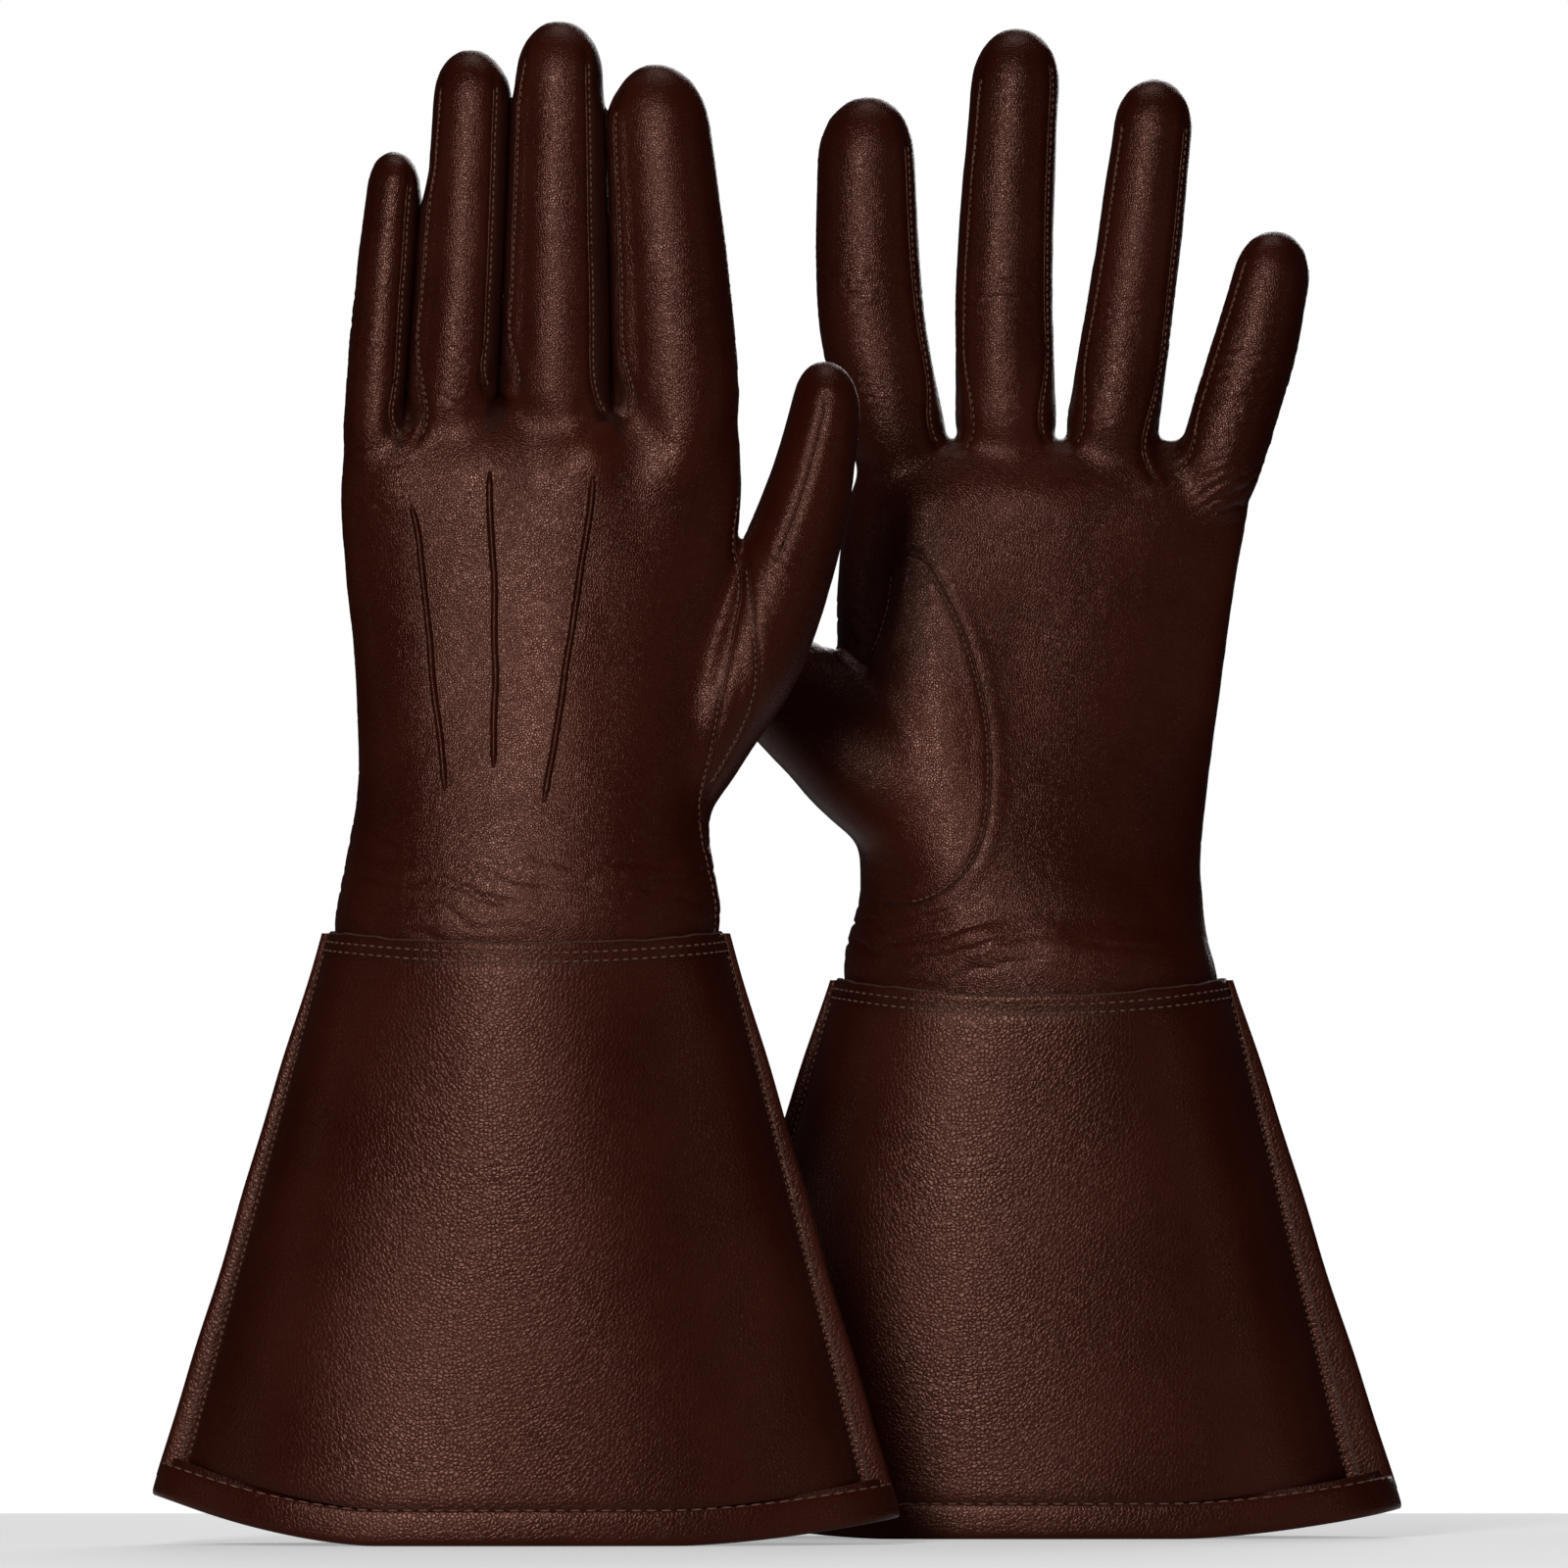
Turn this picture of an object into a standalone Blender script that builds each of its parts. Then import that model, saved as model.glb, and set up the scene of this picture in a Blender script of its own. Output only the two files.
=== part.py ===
"""A pair of long leather riding gloves with gauntlet cuffs, standing upright on their hems.

Each glove is modelled in its own frame: X across the hand with the thumb towards +X, the back of
the hand towards -Y, and +Z from the hem of the cuff up to the fingertips. The front glove keeps
that frame and shows its back; the rear glove is turned half a turn about Z and shows its palm.
"""
import math

import bpy
from mathutils import Matrix, Vector

MM = 0.001

# --- leather, lining and clearances -------------------------------------------------------
GAP = 0.3 * MM                # between pieces that lie against each other
HAND_LEATHER = 1.2 * MM
CUFF_LEATHER = 1.5 * MM
LINING = 0.8 * MM
LINING_SLACK = 1.0 * MM       # the hand's lining hangs this far inside its leather

# --- the gauntlet cuff ----------------------------------------------------------------------
HEM_HALF_WIDTH = 92.5 * MM    # half of the cuff mouth, side strips included
HEM_HALF_DEPTH = 34.0 * MM
CUFF_TOP_HALF_WIDTH = 50.3 * MM
CUFF_TOP_HALF_DEPTH = 30.0 * MM
HEM_HEIGHT = 10.0 * MM        # the turned hem, up to its row of stitches
HEM_CORNER_RISE = 8.0 * MM    # the hem lifts off the ground towards its two sides
HEM_LEVEL_HALF = 45.0 * MM    # the hem is level this far to each side of its middle
STRIP_WIDTH_AT_HEM = 6.5 * MM
STRIP_WIDTH_AT_TOP = 1.6 * MM
STRIP_THICKNESS = 2.6 * MM
LINING_TOP_DROP = 12.0 * MM   # the cuff lining stops this far under the cuff's top edge
HAND_INTO_CUFF = 8.0 * MM     # the hand's leather reaches this far down inside the cuff
HAND_SLACK = 0.6 * MM         # between the hand's leather and the cuff around it
HAND_LEAVES_CUFF = 3.0 * MM   # above the cuff's top edge, where the hand starts to narrow

# --- fingers and thumb ----------------------------------------------------------------------
FINGER_HALF_DEPTH = {
    "little": 8.4 * MM,
    "ring": 9.6 * MM,
    "middle": 10.2 * MM,
    "index": 10.2 * MM,
}
THUMB_HALF_DEPTH = 10.6 * MM
FINGER_BEND_DEG = 80.0
THUMB_BEND_DEG = 50.0
WRIST_BEND_DEG = 30.0
THUMB_BEND_SIDEWAYS = 0.55    # share of the thumb's fold that goes across the palm
ROOT_OVERLAP = 6.0 * MM       # a finger's root starts this far below its base, inside the hand

THUMB_SEAM_MARGIN = 14.0 * MM # the thumb's seam runs this far round the ball of the palm
THUMB_SEAM_RISE = 22.0 * MM   # and this far above the last section of its root
THUMB_SEAM_LEAN = 3.0 * MM    # the side seam leans out this far towards the fingers

# --- the raised points on the back, and the forks between the fingers -----------------------
POINT_HEIGHT = 1.7 * MM
POINT_HALF_WIDTH = 1.5 * MM
POINT_FULL_FROM = 0.08        # of its length, where a point reaches its full height
POINT_END_SIZE = 0.35         # of its full size, at its two ends
FORK_HALF_WIDTH = 7.0 * MM    # a fork reaches this far into the finger on either side
FORK_EDGE = 3.4 * MM          # its seams stay this far inside the finger's back and palm
FORK_DEPTH = 5.0 * MM         # below the crotch between two fingers
FORK_REACH = 40.0 * MM        # up the fingers, past the rims of their roots

# --- how the pair stands ----------------------------------------------------------------------
PAIR_HALF_SPACING_X = 62.6 * MM
PAIR_HALF_SPACING_Y = 56.0 * MM

CUTTER_REACH = 60.0 * MM      # past the leather on both sides of the hand

# --- facets -----------------------------------------------------------------------------------
FINGER_SIDES = 12
HAND_SIDES = 20
CUFF_SIDES = 32
PANEL_EDGE_SHARE = 0.06       # of a facet, left open between the cuff's panels at each side
ROUNDNESS = 2.3               # exponent of the sections' superellipse; 2 is a plain ellipse

OXBLOOD = (0.052, 0.014, 0.011, 1.0)
CUFF_BROWN = (0.060, 0.016, 0.012, 1.0)
RAW_EDGE = (0.155, 0.092, 0.072, 1.0)
LINING_TAN = (0.190, 0.110, 0.066, 1.0)


def mm(*values):
    """A point or a list of lengths, given in millimetres."""
    return tuple(v * MM for v in values)


# A hand section is (height, little-finger side, thumb side, half depth), all in millimetres here
# and in metres once read. A finger is (base x, base z), (tip x, tip z), its half width at the base
# and at the tip, and how far above its base it bends.
FRONT_GLOVE = {
    "name": "front",
    "cuff_top": 151.0 * MM,
    "wrist": 176.0 * MM,
    "above_cuff": mm(164, -44.9, 46.8, 26.0),
    "hand": [
        mm(188, -41.4, 46.5, 21.5),
        mm(212, -42.2, 49.5, 17.5),
        mm(237, -44.2, 51.5, 15.5),
        mm(262, -45.7, 53.0, 14.0),
        mm(276, -45.2, 53.0, 12.4),
        mm(286, -40.0, 48.0, 8.0),
    ],
    "wrist_section": mm(176, -43.0, 45.4, 24.0),
    "fingers": {
        "little": (mm(-38.2, 274), mm(-31.6, 343.5), 7.9 * MM, 6.9 * MM, 24 * MM),
        "ring": (mm(-17.9, 280), mm(-12.8, 368.5), 10.9 * MM, 9.8 * MM, 29 * MM),
        "middle": (mm(7.4, 283), mm(8.4, 375.5), 13.4 * MM, 11.2 * MM, 31 * MM),
        "index": (mm(37.6, 281), mm(32.4, 365.5), 15.0 * MM, 12.3 * MM, 29 * MM),
    },
    "crotches": [mm(-29.4, 275), mm(-6.7, 286), mm(21.7, 281)],
    "thumb_root": [(mm(38, 3, 186), 13 * MM), (mm(50, 4, 206), 14.5 * MM),
                   (mm(59.5, 5, 226), 13.6 * MM)],
    "thumb": [(mm(67.3, 6.5, 255), 11.0 * MM), (mm(72.6, 7.5, 276), 9.4 * MM)],
    "thumb_tip": mm(75.6, 8, 291),
    "thumb_bend": mm(67.6, 6.6, 256),
    "points": [
        (mm(-22.6, 186), mm(-31.8, 258)),
        (mm(-9.2, 191), mm(-9.0, 268)),
        (mm(4.6, 183), mm(19.0, 263)),
    ],
}

REAR_GLOVE = {
    "name": "rear",
    "cuff_top": 139.0 * MM,
    "wrist": 159.0 * MM,
    "above_cuff": mm(150, -43.6, 44.2, 26.0),
    "hand": [
        mm(170, -42.0, 43.0, 22.0),
        mm(188, -44.3, 45.0, 19.0),
        mm(212, -47.6, 48.0, 16.5),
        mm(237, -50.7, 48.5, 15.0),
        mm(258, -54.4, 46.0, 13.8),
        mm(268, -56.5, 44.5, 12.4),
        mm(277, -50.0, 39.0, 8.0),
    ],
    "wrist_section": mm(159, -42.4, 42.6, 24.0),
    "fingers": {
        "little": (mm(-46.8, 268), mm(-62.2, 325), 10.6 * MM, 9.5 * MM, 24 * MM),
        "ring": (mm(-19.6, 276), mm(-31.4, 363), 11.2 * MM, 10.2 * MM, 29 * MM),
        "middle": (mm(7.2, 277), mm(3.3, 375.5), 12.2 * MM, 11.0 * MM, 33 * MM),
        "index": (mm(34.0, 273), mm(41.6, 358.5), 12.8 * MM, 12.1 * MM, 35 * MM),
    },
    "crotches": [mm(-32.5, 267), mm(-6.8, 277), mm(20.4, 275)],
    "thumb_root": [(mm(28, 3, 180), 15 * MM), (mm(44, 5, 196), 16.5 * MM),
                   (mm(57, 7, 207), 15.0 * MM)],
    "thumb": [(mm(70, 9, 218), 12.4 * MM), (mm(80, 10, 227), 11.0 * MM)],
    "thumb_tip": mm(88.5, 11, 235),
    "thumb_bend": mm(66.5, 8.4, 215),
    "points": [
        (mm(-22.6, 176), mm(-36.5, 250)),
        (mm(-9.0, 181), mm(-9.6, 260)),
        (mm(5.0, 174), mm(18.6, 256)),
    ],
}


# --- small builders ---------------------------------------------------------------------------
def clear_scene():
    for obj in list(bpy.data.objects):
        bpy.data.objects.remove(obj, do_unlink=True)


def make_material(name, colour, roughness):
    material = bpy.data.materials.new(name)
    material.use_nodes = True
    material.diffuse_color = colour
    shader = material.node_tree.nodes["Principled BSDF"]
    shader.inputs["Base Color"].default_value = colour
    shader.inputs["Roughness"].default_value = roughness
    shader.inputs["Metallic"].default_value = 0.0
    return material


def mesh_object(name, vertices, faces):
    mesh = bpy.data.meshes.new(name)
    mesh.from_pydata([tuple(v) for v in vertices], [], faces)
    mesh.update()
    obj = bpy.data.objects.new(name, mesh)
    bpy.context.scene.collection.objects.link(obj)
    return obj


def superellipse(count):
    """Unit section points, anticlockwise seen from +Z, evenly spread in angle."""
    points = []
    for i in range(count):
        angle = 2 * math.pi * i / count
        c, s = math.cos(angle), math.sin(angle)
        power = 2 / ROUNDNESS
        points.append((math.copysign(abs(c) ** power, c), math.copysign(abs(s) ** power, s)))
    return points


def section(centre, side, depth, half_width, half_depth, unit):
    """One ring of points round centre: side and depth are the ring's two directions."""
    return [centre + side * (half_width * x) + depth * (half_depth * y) for x, y in unit]


def split(a, b, c, d):
    """A four-sided face as two triangles that share the edge a-c."""
    return [(a, b, c), (a, c, d)]


def loft(name, rings):
    """A solid through rings of equal count, with both ends closed."""
    count = len(rings[0])
    vertices = [p for ring in rings for p in ring]
    faces = [tuple(reversed(range(count)))]
    for level in range(len(rings) - 1):
        low, high = level * count, (level + 1) * count
        for i in range(count):
            j = (i + 1) % count
            faces += split(low + i, low + j, high + j, high + i)
    last = (len(rings) - 1) * count
    faces.append(tuple(range(last, last + count)))
    return mesh_object(name, vertices, faces)


def wall_loft(name, outer, inner, kind):
    """A wall between outer and inner rings: a tube, a cup closed at its last rings, or an arc.

    Both faces of the wall are cut into triangles the same way, so its thickness stays even and
    the layers inside it never touch it.
    """
    count = len(outer[0])
    vertices = [p for ring in outer + inner for p in ring]
    inside = len(outer) * count
    last = inside - count
    steps = range(count - 1) if kind == "arc" else range(count)
    faces = []
    for i in steps:
        j = (i + 1) % count
        for low in range(0, last, count):
            high = low + count
            faces += split(low + i, low + j, high + j, high + i)
            faces += split(inside + low + i, inside + high + i, inside + high + j, inside + low + j)
        faces += split(inside + i, inside + j, j, i)
        if kind != "cup":
            faces += split(last + i, last + j, inside + last + j, inside + last + i)
    if kind == "cup":
        faces.append(tuple(range(last, last + count)))
        faces.append(tuple(reversed(range(inside + last, inside + last + count))))
    if kind == "arc":
        end = count - 1
        for low in range(0, last, count):
            high = low + count
            faces += split(low, high, inside + high, inside + low)
            faces += split(low + end, inside + low + end, inside + high + end, high + end)
    return mesh_object(name, vertices, faces)


def box(name, low, high):
    corners = [Vector((x, y, z)) for z in (low[2], high[2])
               for x, y in ((low[0], low[1]), (high[0], low[1]), (high[0], high[1]), (low[0], high[1]))]
    return loft(name, [corners[:4], corners[4:]])


def prism(name, outline, near, far):
    """A solid with an outline in X and Z, from Y = near to Y = far; anticlockwise seen from -Y."""
    return loft(name, [[Vector((x, far, z)) for x, z in outline],
                       [Vector((x, near, z)) for x, z in outline]])


def combine(target, tools, operation):
    """Applies one Boolean for each tool to the target, and removes the tools.

    The manifold solver is used, because the walls are so thin that the exact one drops some.
    """
    for tool in tools:
        modifier = target.modifiers.new("join", "BOOLEAN")
        modifier.operation = operation
        modifier.solver = "MANIFOLD"
        modifier.object = tool
        graph = bpy.context.evaluated_depsgraph_get()
        graph.update()
        mesh = bpy.data.meshes.new_from_object(target.evaluated_get(graph))
        target.modifiers.clear()
        target.data = mesh
        bpy.data.objects.remove(tool, do_unlink=True)
    return target


def copy_of(obj, name):
    twin = bpy.data.objects.new(name, obj.data.copy())
    bpy.context.scene.collection.objects.link(twin)
    return twin


def finish_piece(obj, name, material, origin, turn, parent):
    """Names a piece, gives it its material and sets its origin, in the pair's frame."""
    obj.name = name
    obj.data.name = name
    obj.data.materials.clear()
    obj.data.materials.append(material)
    obj.data.transform(Matrix.Translation(-origin))
    obj.data.transform(turn.to_4x4())
    obj.data.shade_smooth()
    obj.data.set_sharp_from_angle(angle=math.radians(40))
    obj.location = turn @ origin
    obj.parent = parent


# --- one glove --------------------------------------------------------------------------------
X_AXIS, Y_AXIS, Z_AXIS = Vector((1, 0, 0)), Vector((0, 1, 0)), Vector((0, 0, 1))


class Limb:
    """A finger or a thumb: a tapering tube along a centre line, closed by a round tip."""

    def __init__(self, points, half_widths, half_depth, depth_axis):
        self.points = [Vector(p) for p in points]
        self.half_widths = half_widths
        self.half_depth = half_depth
        lengths = [(b - a).length for a, b in zip(self.points, self.points[1:])]
        self.stops = [sum(lengths[:i]) for i in range(len(self.points))]
        self.length = self.stops[-1]
        self.along = (self.points[-1] - self.points[0]).normalized()
        self.depth_axis = (depth_axis - self.along * depth_axis.dot(self.along)).normalized()
        self.side_axis = self.depth_axis.cross(self.along)

    def at(self, distance):
        """The centre, and the half width, this far along the limb."""
        distance = min(max(distance, -self.length), 2 * self.length)
        i = 0
        while i < len(self.stops) - 2 and distance > self.stops[i + 1]:
            i += 1
        share = (distance - self.stops[i]) / (self.stops[i + 1] - self.stops[i])
        centre = self.points[i].lerp(self.points[i + 1], share)
        held = min(max(share, 0.0), 1.0)
        width = self.half_widths[i] + (self.half_widths[i + 1] - self.half_widths[i]) * held
        return centre, width

    def ring(self, distance, inset=0.0, scale=1.0, count=FINGER_SIDES):
        centre, width = self.at(distance)
        return section(centre, self.side_axis, self.depth_axis,
                       (width - inset) * scale, (self.half_depth - inset) * scale,
                       superellipse(count))

    def rings(self, start, inset=0.0):
        """Rings from start to the tip, with a round end."""
        tip_radius = self.half_widths[-1]
        rise = self.length - inset
        found = [self.ring(start, inset), self.ring((start + rise - tip_radius) / 2, inset)]
        for share in (1.0, 0.42, 0.12, 0.0):
            scale = math.sqrt(1 - (1 - share) ** 2) if share else 0.3
            found.append(self.ring(rise - share * tip_radius, inset, scale))
        return found


def finger_limb(name, finger):
    (base_x, base_z), (tip_x, tip_z), base_half, tip_half, _ = finger
    base, tip = Vector((base_x, 0, base_z)), Vector((tip_x, 0, tip_z))
    waist = base.lerp(tip, 0.5)
    waist_half = tip_half + (base_half - tip_half) * 0.33
    return Limb([base, waist, tip], [base_half, waist_half, tip_half],
                FINGER_HALF_DEPTH[name], Y_AXIS)


def thumb_limb(glove):
    """The thumb's depth axis is the way it folds: towards the palm and across it."""
    stations = glove["thumb_root"] + glove["thumb"]
    points = [p for p, _ in stations] + [glove["thumb_tip"]]
    widths = [w for _, w in stations]
    fold = Vector((-THUMB_BEND_SIDEWAYS, math.sqrt(1 - THUMB_BEND_SIDEWAYS ** 2), 0))
    return Limb(points, widths + [widths[-1] * 0.96], THUMB_HALF_DEPTH, fold)


def bend_reach(half_depth, degrees):
    """Half the height of the soft zone at a bend, so that its two rims never meet."""
    return half_depth * math.tan(math.radians(degrees / 2)) + GAP


def hand_ring(station, inset=0.0, count=HAND_SIDES):
    height, low, high, half_depth = station
    centre = Vector(((low + high) / 2, 0, height))
    return section(centre, X_AXIS, Y_AXIS, (high - low) / 2 - inset, half_depth - inset,
                   superellipse(count))


def hand_at(glove, height):
    """The hand's section at this height, between its stations."""
    stations = [glove["wrist_section"]] + glove["hand"]
    for low, high in zip(stations, stations[1:]):
        if height <= high[0]:
            share = (height - low[0]) / (high[0] - low[0])
            return tuple(a + (b - a) * share for a, b in zip(low, high))
    return stations[-1]


def back_surface(glove, x, height):
    """Y of the hand's back at this place."""
    _, low, high, half_depth = hand_at(glove, height)
    across = abs(x - (low + high) / 2) / ((high - low) / 2)
    return -half_depth * (1 - across ** ROUNDNESS) ** (1 / ROUNDNESS)


def thumb_bend_distance(limb, glove):
    return (Vector(glove["thumb_bend"]) - limb.points[0]).dot(limb.along)


def hand_skin(glove, limbs, thumb):
    """The hand's whole leather from the wrist to the bends of the fingers, as one wall."""
    wrist = hand_at(glove, glove["wrist"] + GAP)
    outer = loft("skin", [hand_ring(wrist)] + [hand_ring(s) for s in glove["hand"]])
    low_end = (wrist[0] - 3 * HAND_LEATHER,) + wrist[1:]
    inside = [low_end] + glove["hand"][:-1]
    top = glove["hand"][-1]
    inside.append((top[0] - HAND_LEATHER,) + top[1:])
    inner = loft("cavity", [hand_ring(s, HAND_LEATHER) for s in inside])
    roots = [(limbs[n], -ROOT_OVERLAP, glove["fingers"][n][4]
              - bend_reach(FINGER_HALF_DEPTH[n], FINGER_BEND_DEG)) for n in limbs]
    roots.append((thumb, 0.0, thumb_bend_distance(thumb, glove)
                  - bend_reach(THUMB_HALF_DEPTH, THUMB_BEND_DEG)))
    walls, cavities = [], []
    for limb, low, high in roots:
        stops = [low, (low + high) / 2, high]
        walls.append(loft("root", [limb.ring(s) for s in stops]))
        stops = [low + HAND_LEATHER, (low + high) / 2, high + 3 * HAND_LEATHER]
        cavities.append(loft("hole", [limb.ring(s, HAND_LEATHER) for s in stops]))
    combine(outer, walls, "UNION")
    combine(inner, cavities, "UNION")
    return combine(outer, [inner], "DIFFERENCE")


def thumb_cutters(glove, grow):
    """The set-in thumb takes the ball of the palm and the whole root beyond the side seam."""
    low, high = glove["thumb_root"][0][0], glove["thumb_root"][-1][0]
    seam_x = low[0] - THUMB_SEAM_MARGIN - grow
    bottom = low[2] - THUMB_SEAM_MARGIN - grow
    top = high[2] + THUMB_SEAM_RISE + grow
    far = 2 * CUTTER_REACH
    ball = prism("ball", [(seam_x, low[2] - grow), (low[0], bottom), (far, bottom), (far, top),
                          (low[0] - grow, top)], -grow, CUTTER_REACH)
    side_x = hand_at(glove, high[2])[2] - grow
    crown = glove["thumb_bend"][2] + THUMB_SEAM_RISE
    side = prism("side", [(side_x - THUMB_SEAM_LEAN, bottom), (far, bottom), (far, crown),
                          (side_x + THUMB_SEAM_LEAN, crown), (side_x, top)],
                 -CUTTER_REACH, CUTTER_REACH)
    return combine(ball, [side], "UNION")


def fork_cutter(glove, limbs, place, grow):
    """The space of one fork: both walls of the gap between two fingers, and its crotch."""
    names = list(limbs)[place:place + 2]
    x, z = glove["crotches"][place]
    lift = FORK_REACH
    pair = [limbs[n] for n in names]
    lean = (pair[0].along + pair[1].along).normalized()
    edge = min(FINGER_HALF_DEPTH[n] for n in names) - FORK_EDGE + grow
    half, bottom = FORK_HALF_WIDTH + grow, z - FORK_DEPTH - grow
    slope = lean.x / lean.z
    outline = [(x - half, bottom), (x + half, bottom),
               (x + half + slope * lift, bottom + lift), (x - half + slope * lift, bottom + lift)]
    return prism("fork", outline, -edge, edge)


def point_ridge(glove, ends):
    """A raised point: a narrow ridge on the back that tapers at both ends."""
    (x_low, z_low), (x_high, z_high) = ends
    rings = []
    full, end_size = POINT_FULL_FROM, POINT_END_SIZE
    for share, size in ((0.0, end_size), (full, 1.0), (0.36, 1.0), (0.64, 1.0),
                        (1 - full, 1.0), (1.0, end_size)):
        x, z = x_low + (x_high - x_low) * share, z_low + (z_high - z_low) * share
        half = POINT_HALF_WIDTH * size
        left, right = (back_surface(glove, x + side * half, z) - GAP for side in (-1, 1))
        crown = min(left, right) - POINT_HEIGHT * size
        rings.append([Vector((x - half, left, z)), Vector((x - half / 2, crown, z)),
                      Vector((x + half / 2, crown, z)), Vector((x + half, right, z))])
    return loft("point", rings)


def cuff_share(glove, height):
    return height / glove["cuff_top"]


def cuff_width(glove, height):
    """Half width to the outside of the cuff's side strips."""
    return HEM_HALF_WIDTH + (CUFF_TOP_HALF_WIDTH - HEM_HALF_WIDTH) * cuff_share(glove, height)


def strip_width(glove, height):
    change = STRIP_WIDTH_AT_TOP - STRIP_WIDTH_AT_HEM
    return STRIP_WIDTH_AT_HEM + change * cuff_share(glove, height)


def cuff_depth(glove, height):
    return HEM_HALF_DEPTH + (CUFF_TOP_HALF_DEPTH - HEM_HALF_DEPTH) * cuff_share(glove, height)


def hem_rise(glove, height, across):
    """How far the cuff's levels lift, at this share of the way from its middle to its side."""
    level = HEM_LEVEL_HALF / HEM_HALF_WIDTH
    past = max(0.0, abs(across) - level) / (1 - level)
    return HEM_CORNER_RISE * past ** 1.5 * (1 - cuff_share(glove, height))


def cuff_ring(glove, height, inset, unit, over_strips=False):
    """A section of the cuff. Every layer shares its facets, so that none cuts another."""
    width = cuff_width(glove, height) - inset
    if not over_strips:
        width -= strip_width(glove, height)
    depth = cuff_depth(glove, height) - inset
    return [Vector((x * width, y * depth, height + hem_rise(glove, height, x))) for x, y in unit]


def cuff_pieces(glove):
    """The cuff's hem, two panels, lining and side strips."""
    top = glove["cuff_top"]
    above_hem = HEM_HEIGHT + GAP
    whole = superellipse(CUFF_SIDES)
    layers = CUFF_LEATHER + GAP + LINING
    hem_wall = layers + GAP + CUFF_LEATHER
    hem = [cuff_ring(glove, h, 0.0, whole, True) for h in (0.0, HEM_HEIGHT)]
    hem_inside = [cuff_ring(glove, h, hem_wall, whole, True) for h in (0.0, HEM_HEIGHT)]
    pieces = {"cuff_hem": wall_loft("hem", hem, hem_inside, "tube")}
    half_turn = CUFF_SIDES // 2
    for name, first in (("cuff_palm", 0), ("cuff_back", half_turn)):
        unit = [Vector(whole[(first + i) % CUFF_SIDES]) for i in range(half_turn + 1)]
        unit[0] = unit[0].lerp(unit[1], PANEL_EDGE_SHARE)
        unit[-1] = unit[-1].lerp(unit[-2], PANEL_EDGE_SHARE)
        outer = [cuff_ring(glove, h, 0.0, unit) for h in (above_hem, top)]
        inner = [cuff_ring(glove, h, CUFF_LEATHER, unit) for h in (above_hem, top)]
        pieces[name] = wall_loft(name, outer, inner, "arc")
    levels = (above_hem, top - LINING_TOP_DROP)
    outer = [cuff_ring(glove, h, CUFF_LEATHER + GAP, whole) for h in levels]
    inner = [cuff_ring(glove, h, layers, whole) for h in levels]
    pieces["cuff_lining"] = wall_loft("lining", outer, inner, "tube")
    for name, side in (("thumb_side_strip", 1), ("little_side_strip", -1)):
        rings = []
        for h in (above_hem, top):
            far = cuff_width(glove, h)
            near = far - strip_width(glove, h) + GAP
            half = STRIP_THICKNESS / 2
            z = h + hem_rise(glove, h, 1.0)
            corners = [(near, -half), (far, -half * 0.6), (far, half * 0.6), (near, half)]
            ring = [Vector((side * x, y, z)) for x, y in corners]
            rings.append(ring if side > 0 else list(reversed(ring)))
        pieces[name] = loft(name, rings)
    return pieces


def inside_cuff(height):
    """The hand's section where the cuff's top goes round it."""
    around = CUFF_LEATHER + GAP + HAND_SLACK
    half_width = CUFF_TOP_HALF_WIDTH - STRIP_WIDTH_AT_TOP - around
    return (height, -half_width, half_width, CUFF_TOP_HALF_DEPTH - around)


def wrist_bend(glove):
    """The soft wrist, from inside the cuff's top up to the hand."""
    foot = inside_cuff(glove["cuff_top"] - HAND_INTO_CUFF)
    leaving = inside_cuff(glove["cuff_top"] + HAND_LEAVES_CUFF)
    end = hand_at(glove, glove["wrist"])
    stations = [foot, leaving, glove["above_cuff"], end]
    return wall_loft("wrist", [hand_ring(s) for s in stations],
                     [hand_ring(s, HAND_LEATHER) for s in stations], "tube")


def hand_lining(glove):
    inset = HAND_LEATHER + LINING_SLACK
    top = min(z for _, z in glove["crotches"]) - 12 * MM
    stations = [hand_at(glove, glove["wrist"] + 3 * MM)]
    stations += [s for s in glove["hand"] if s[0] < top - 4 * MM] + [hand_at(glove, top)]
    return wall_loft("lining", [hand_ring(s, inset) for s in stations],
                     [hand_ring(s, inset + LINING) for s in stations], "tube")


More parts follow.
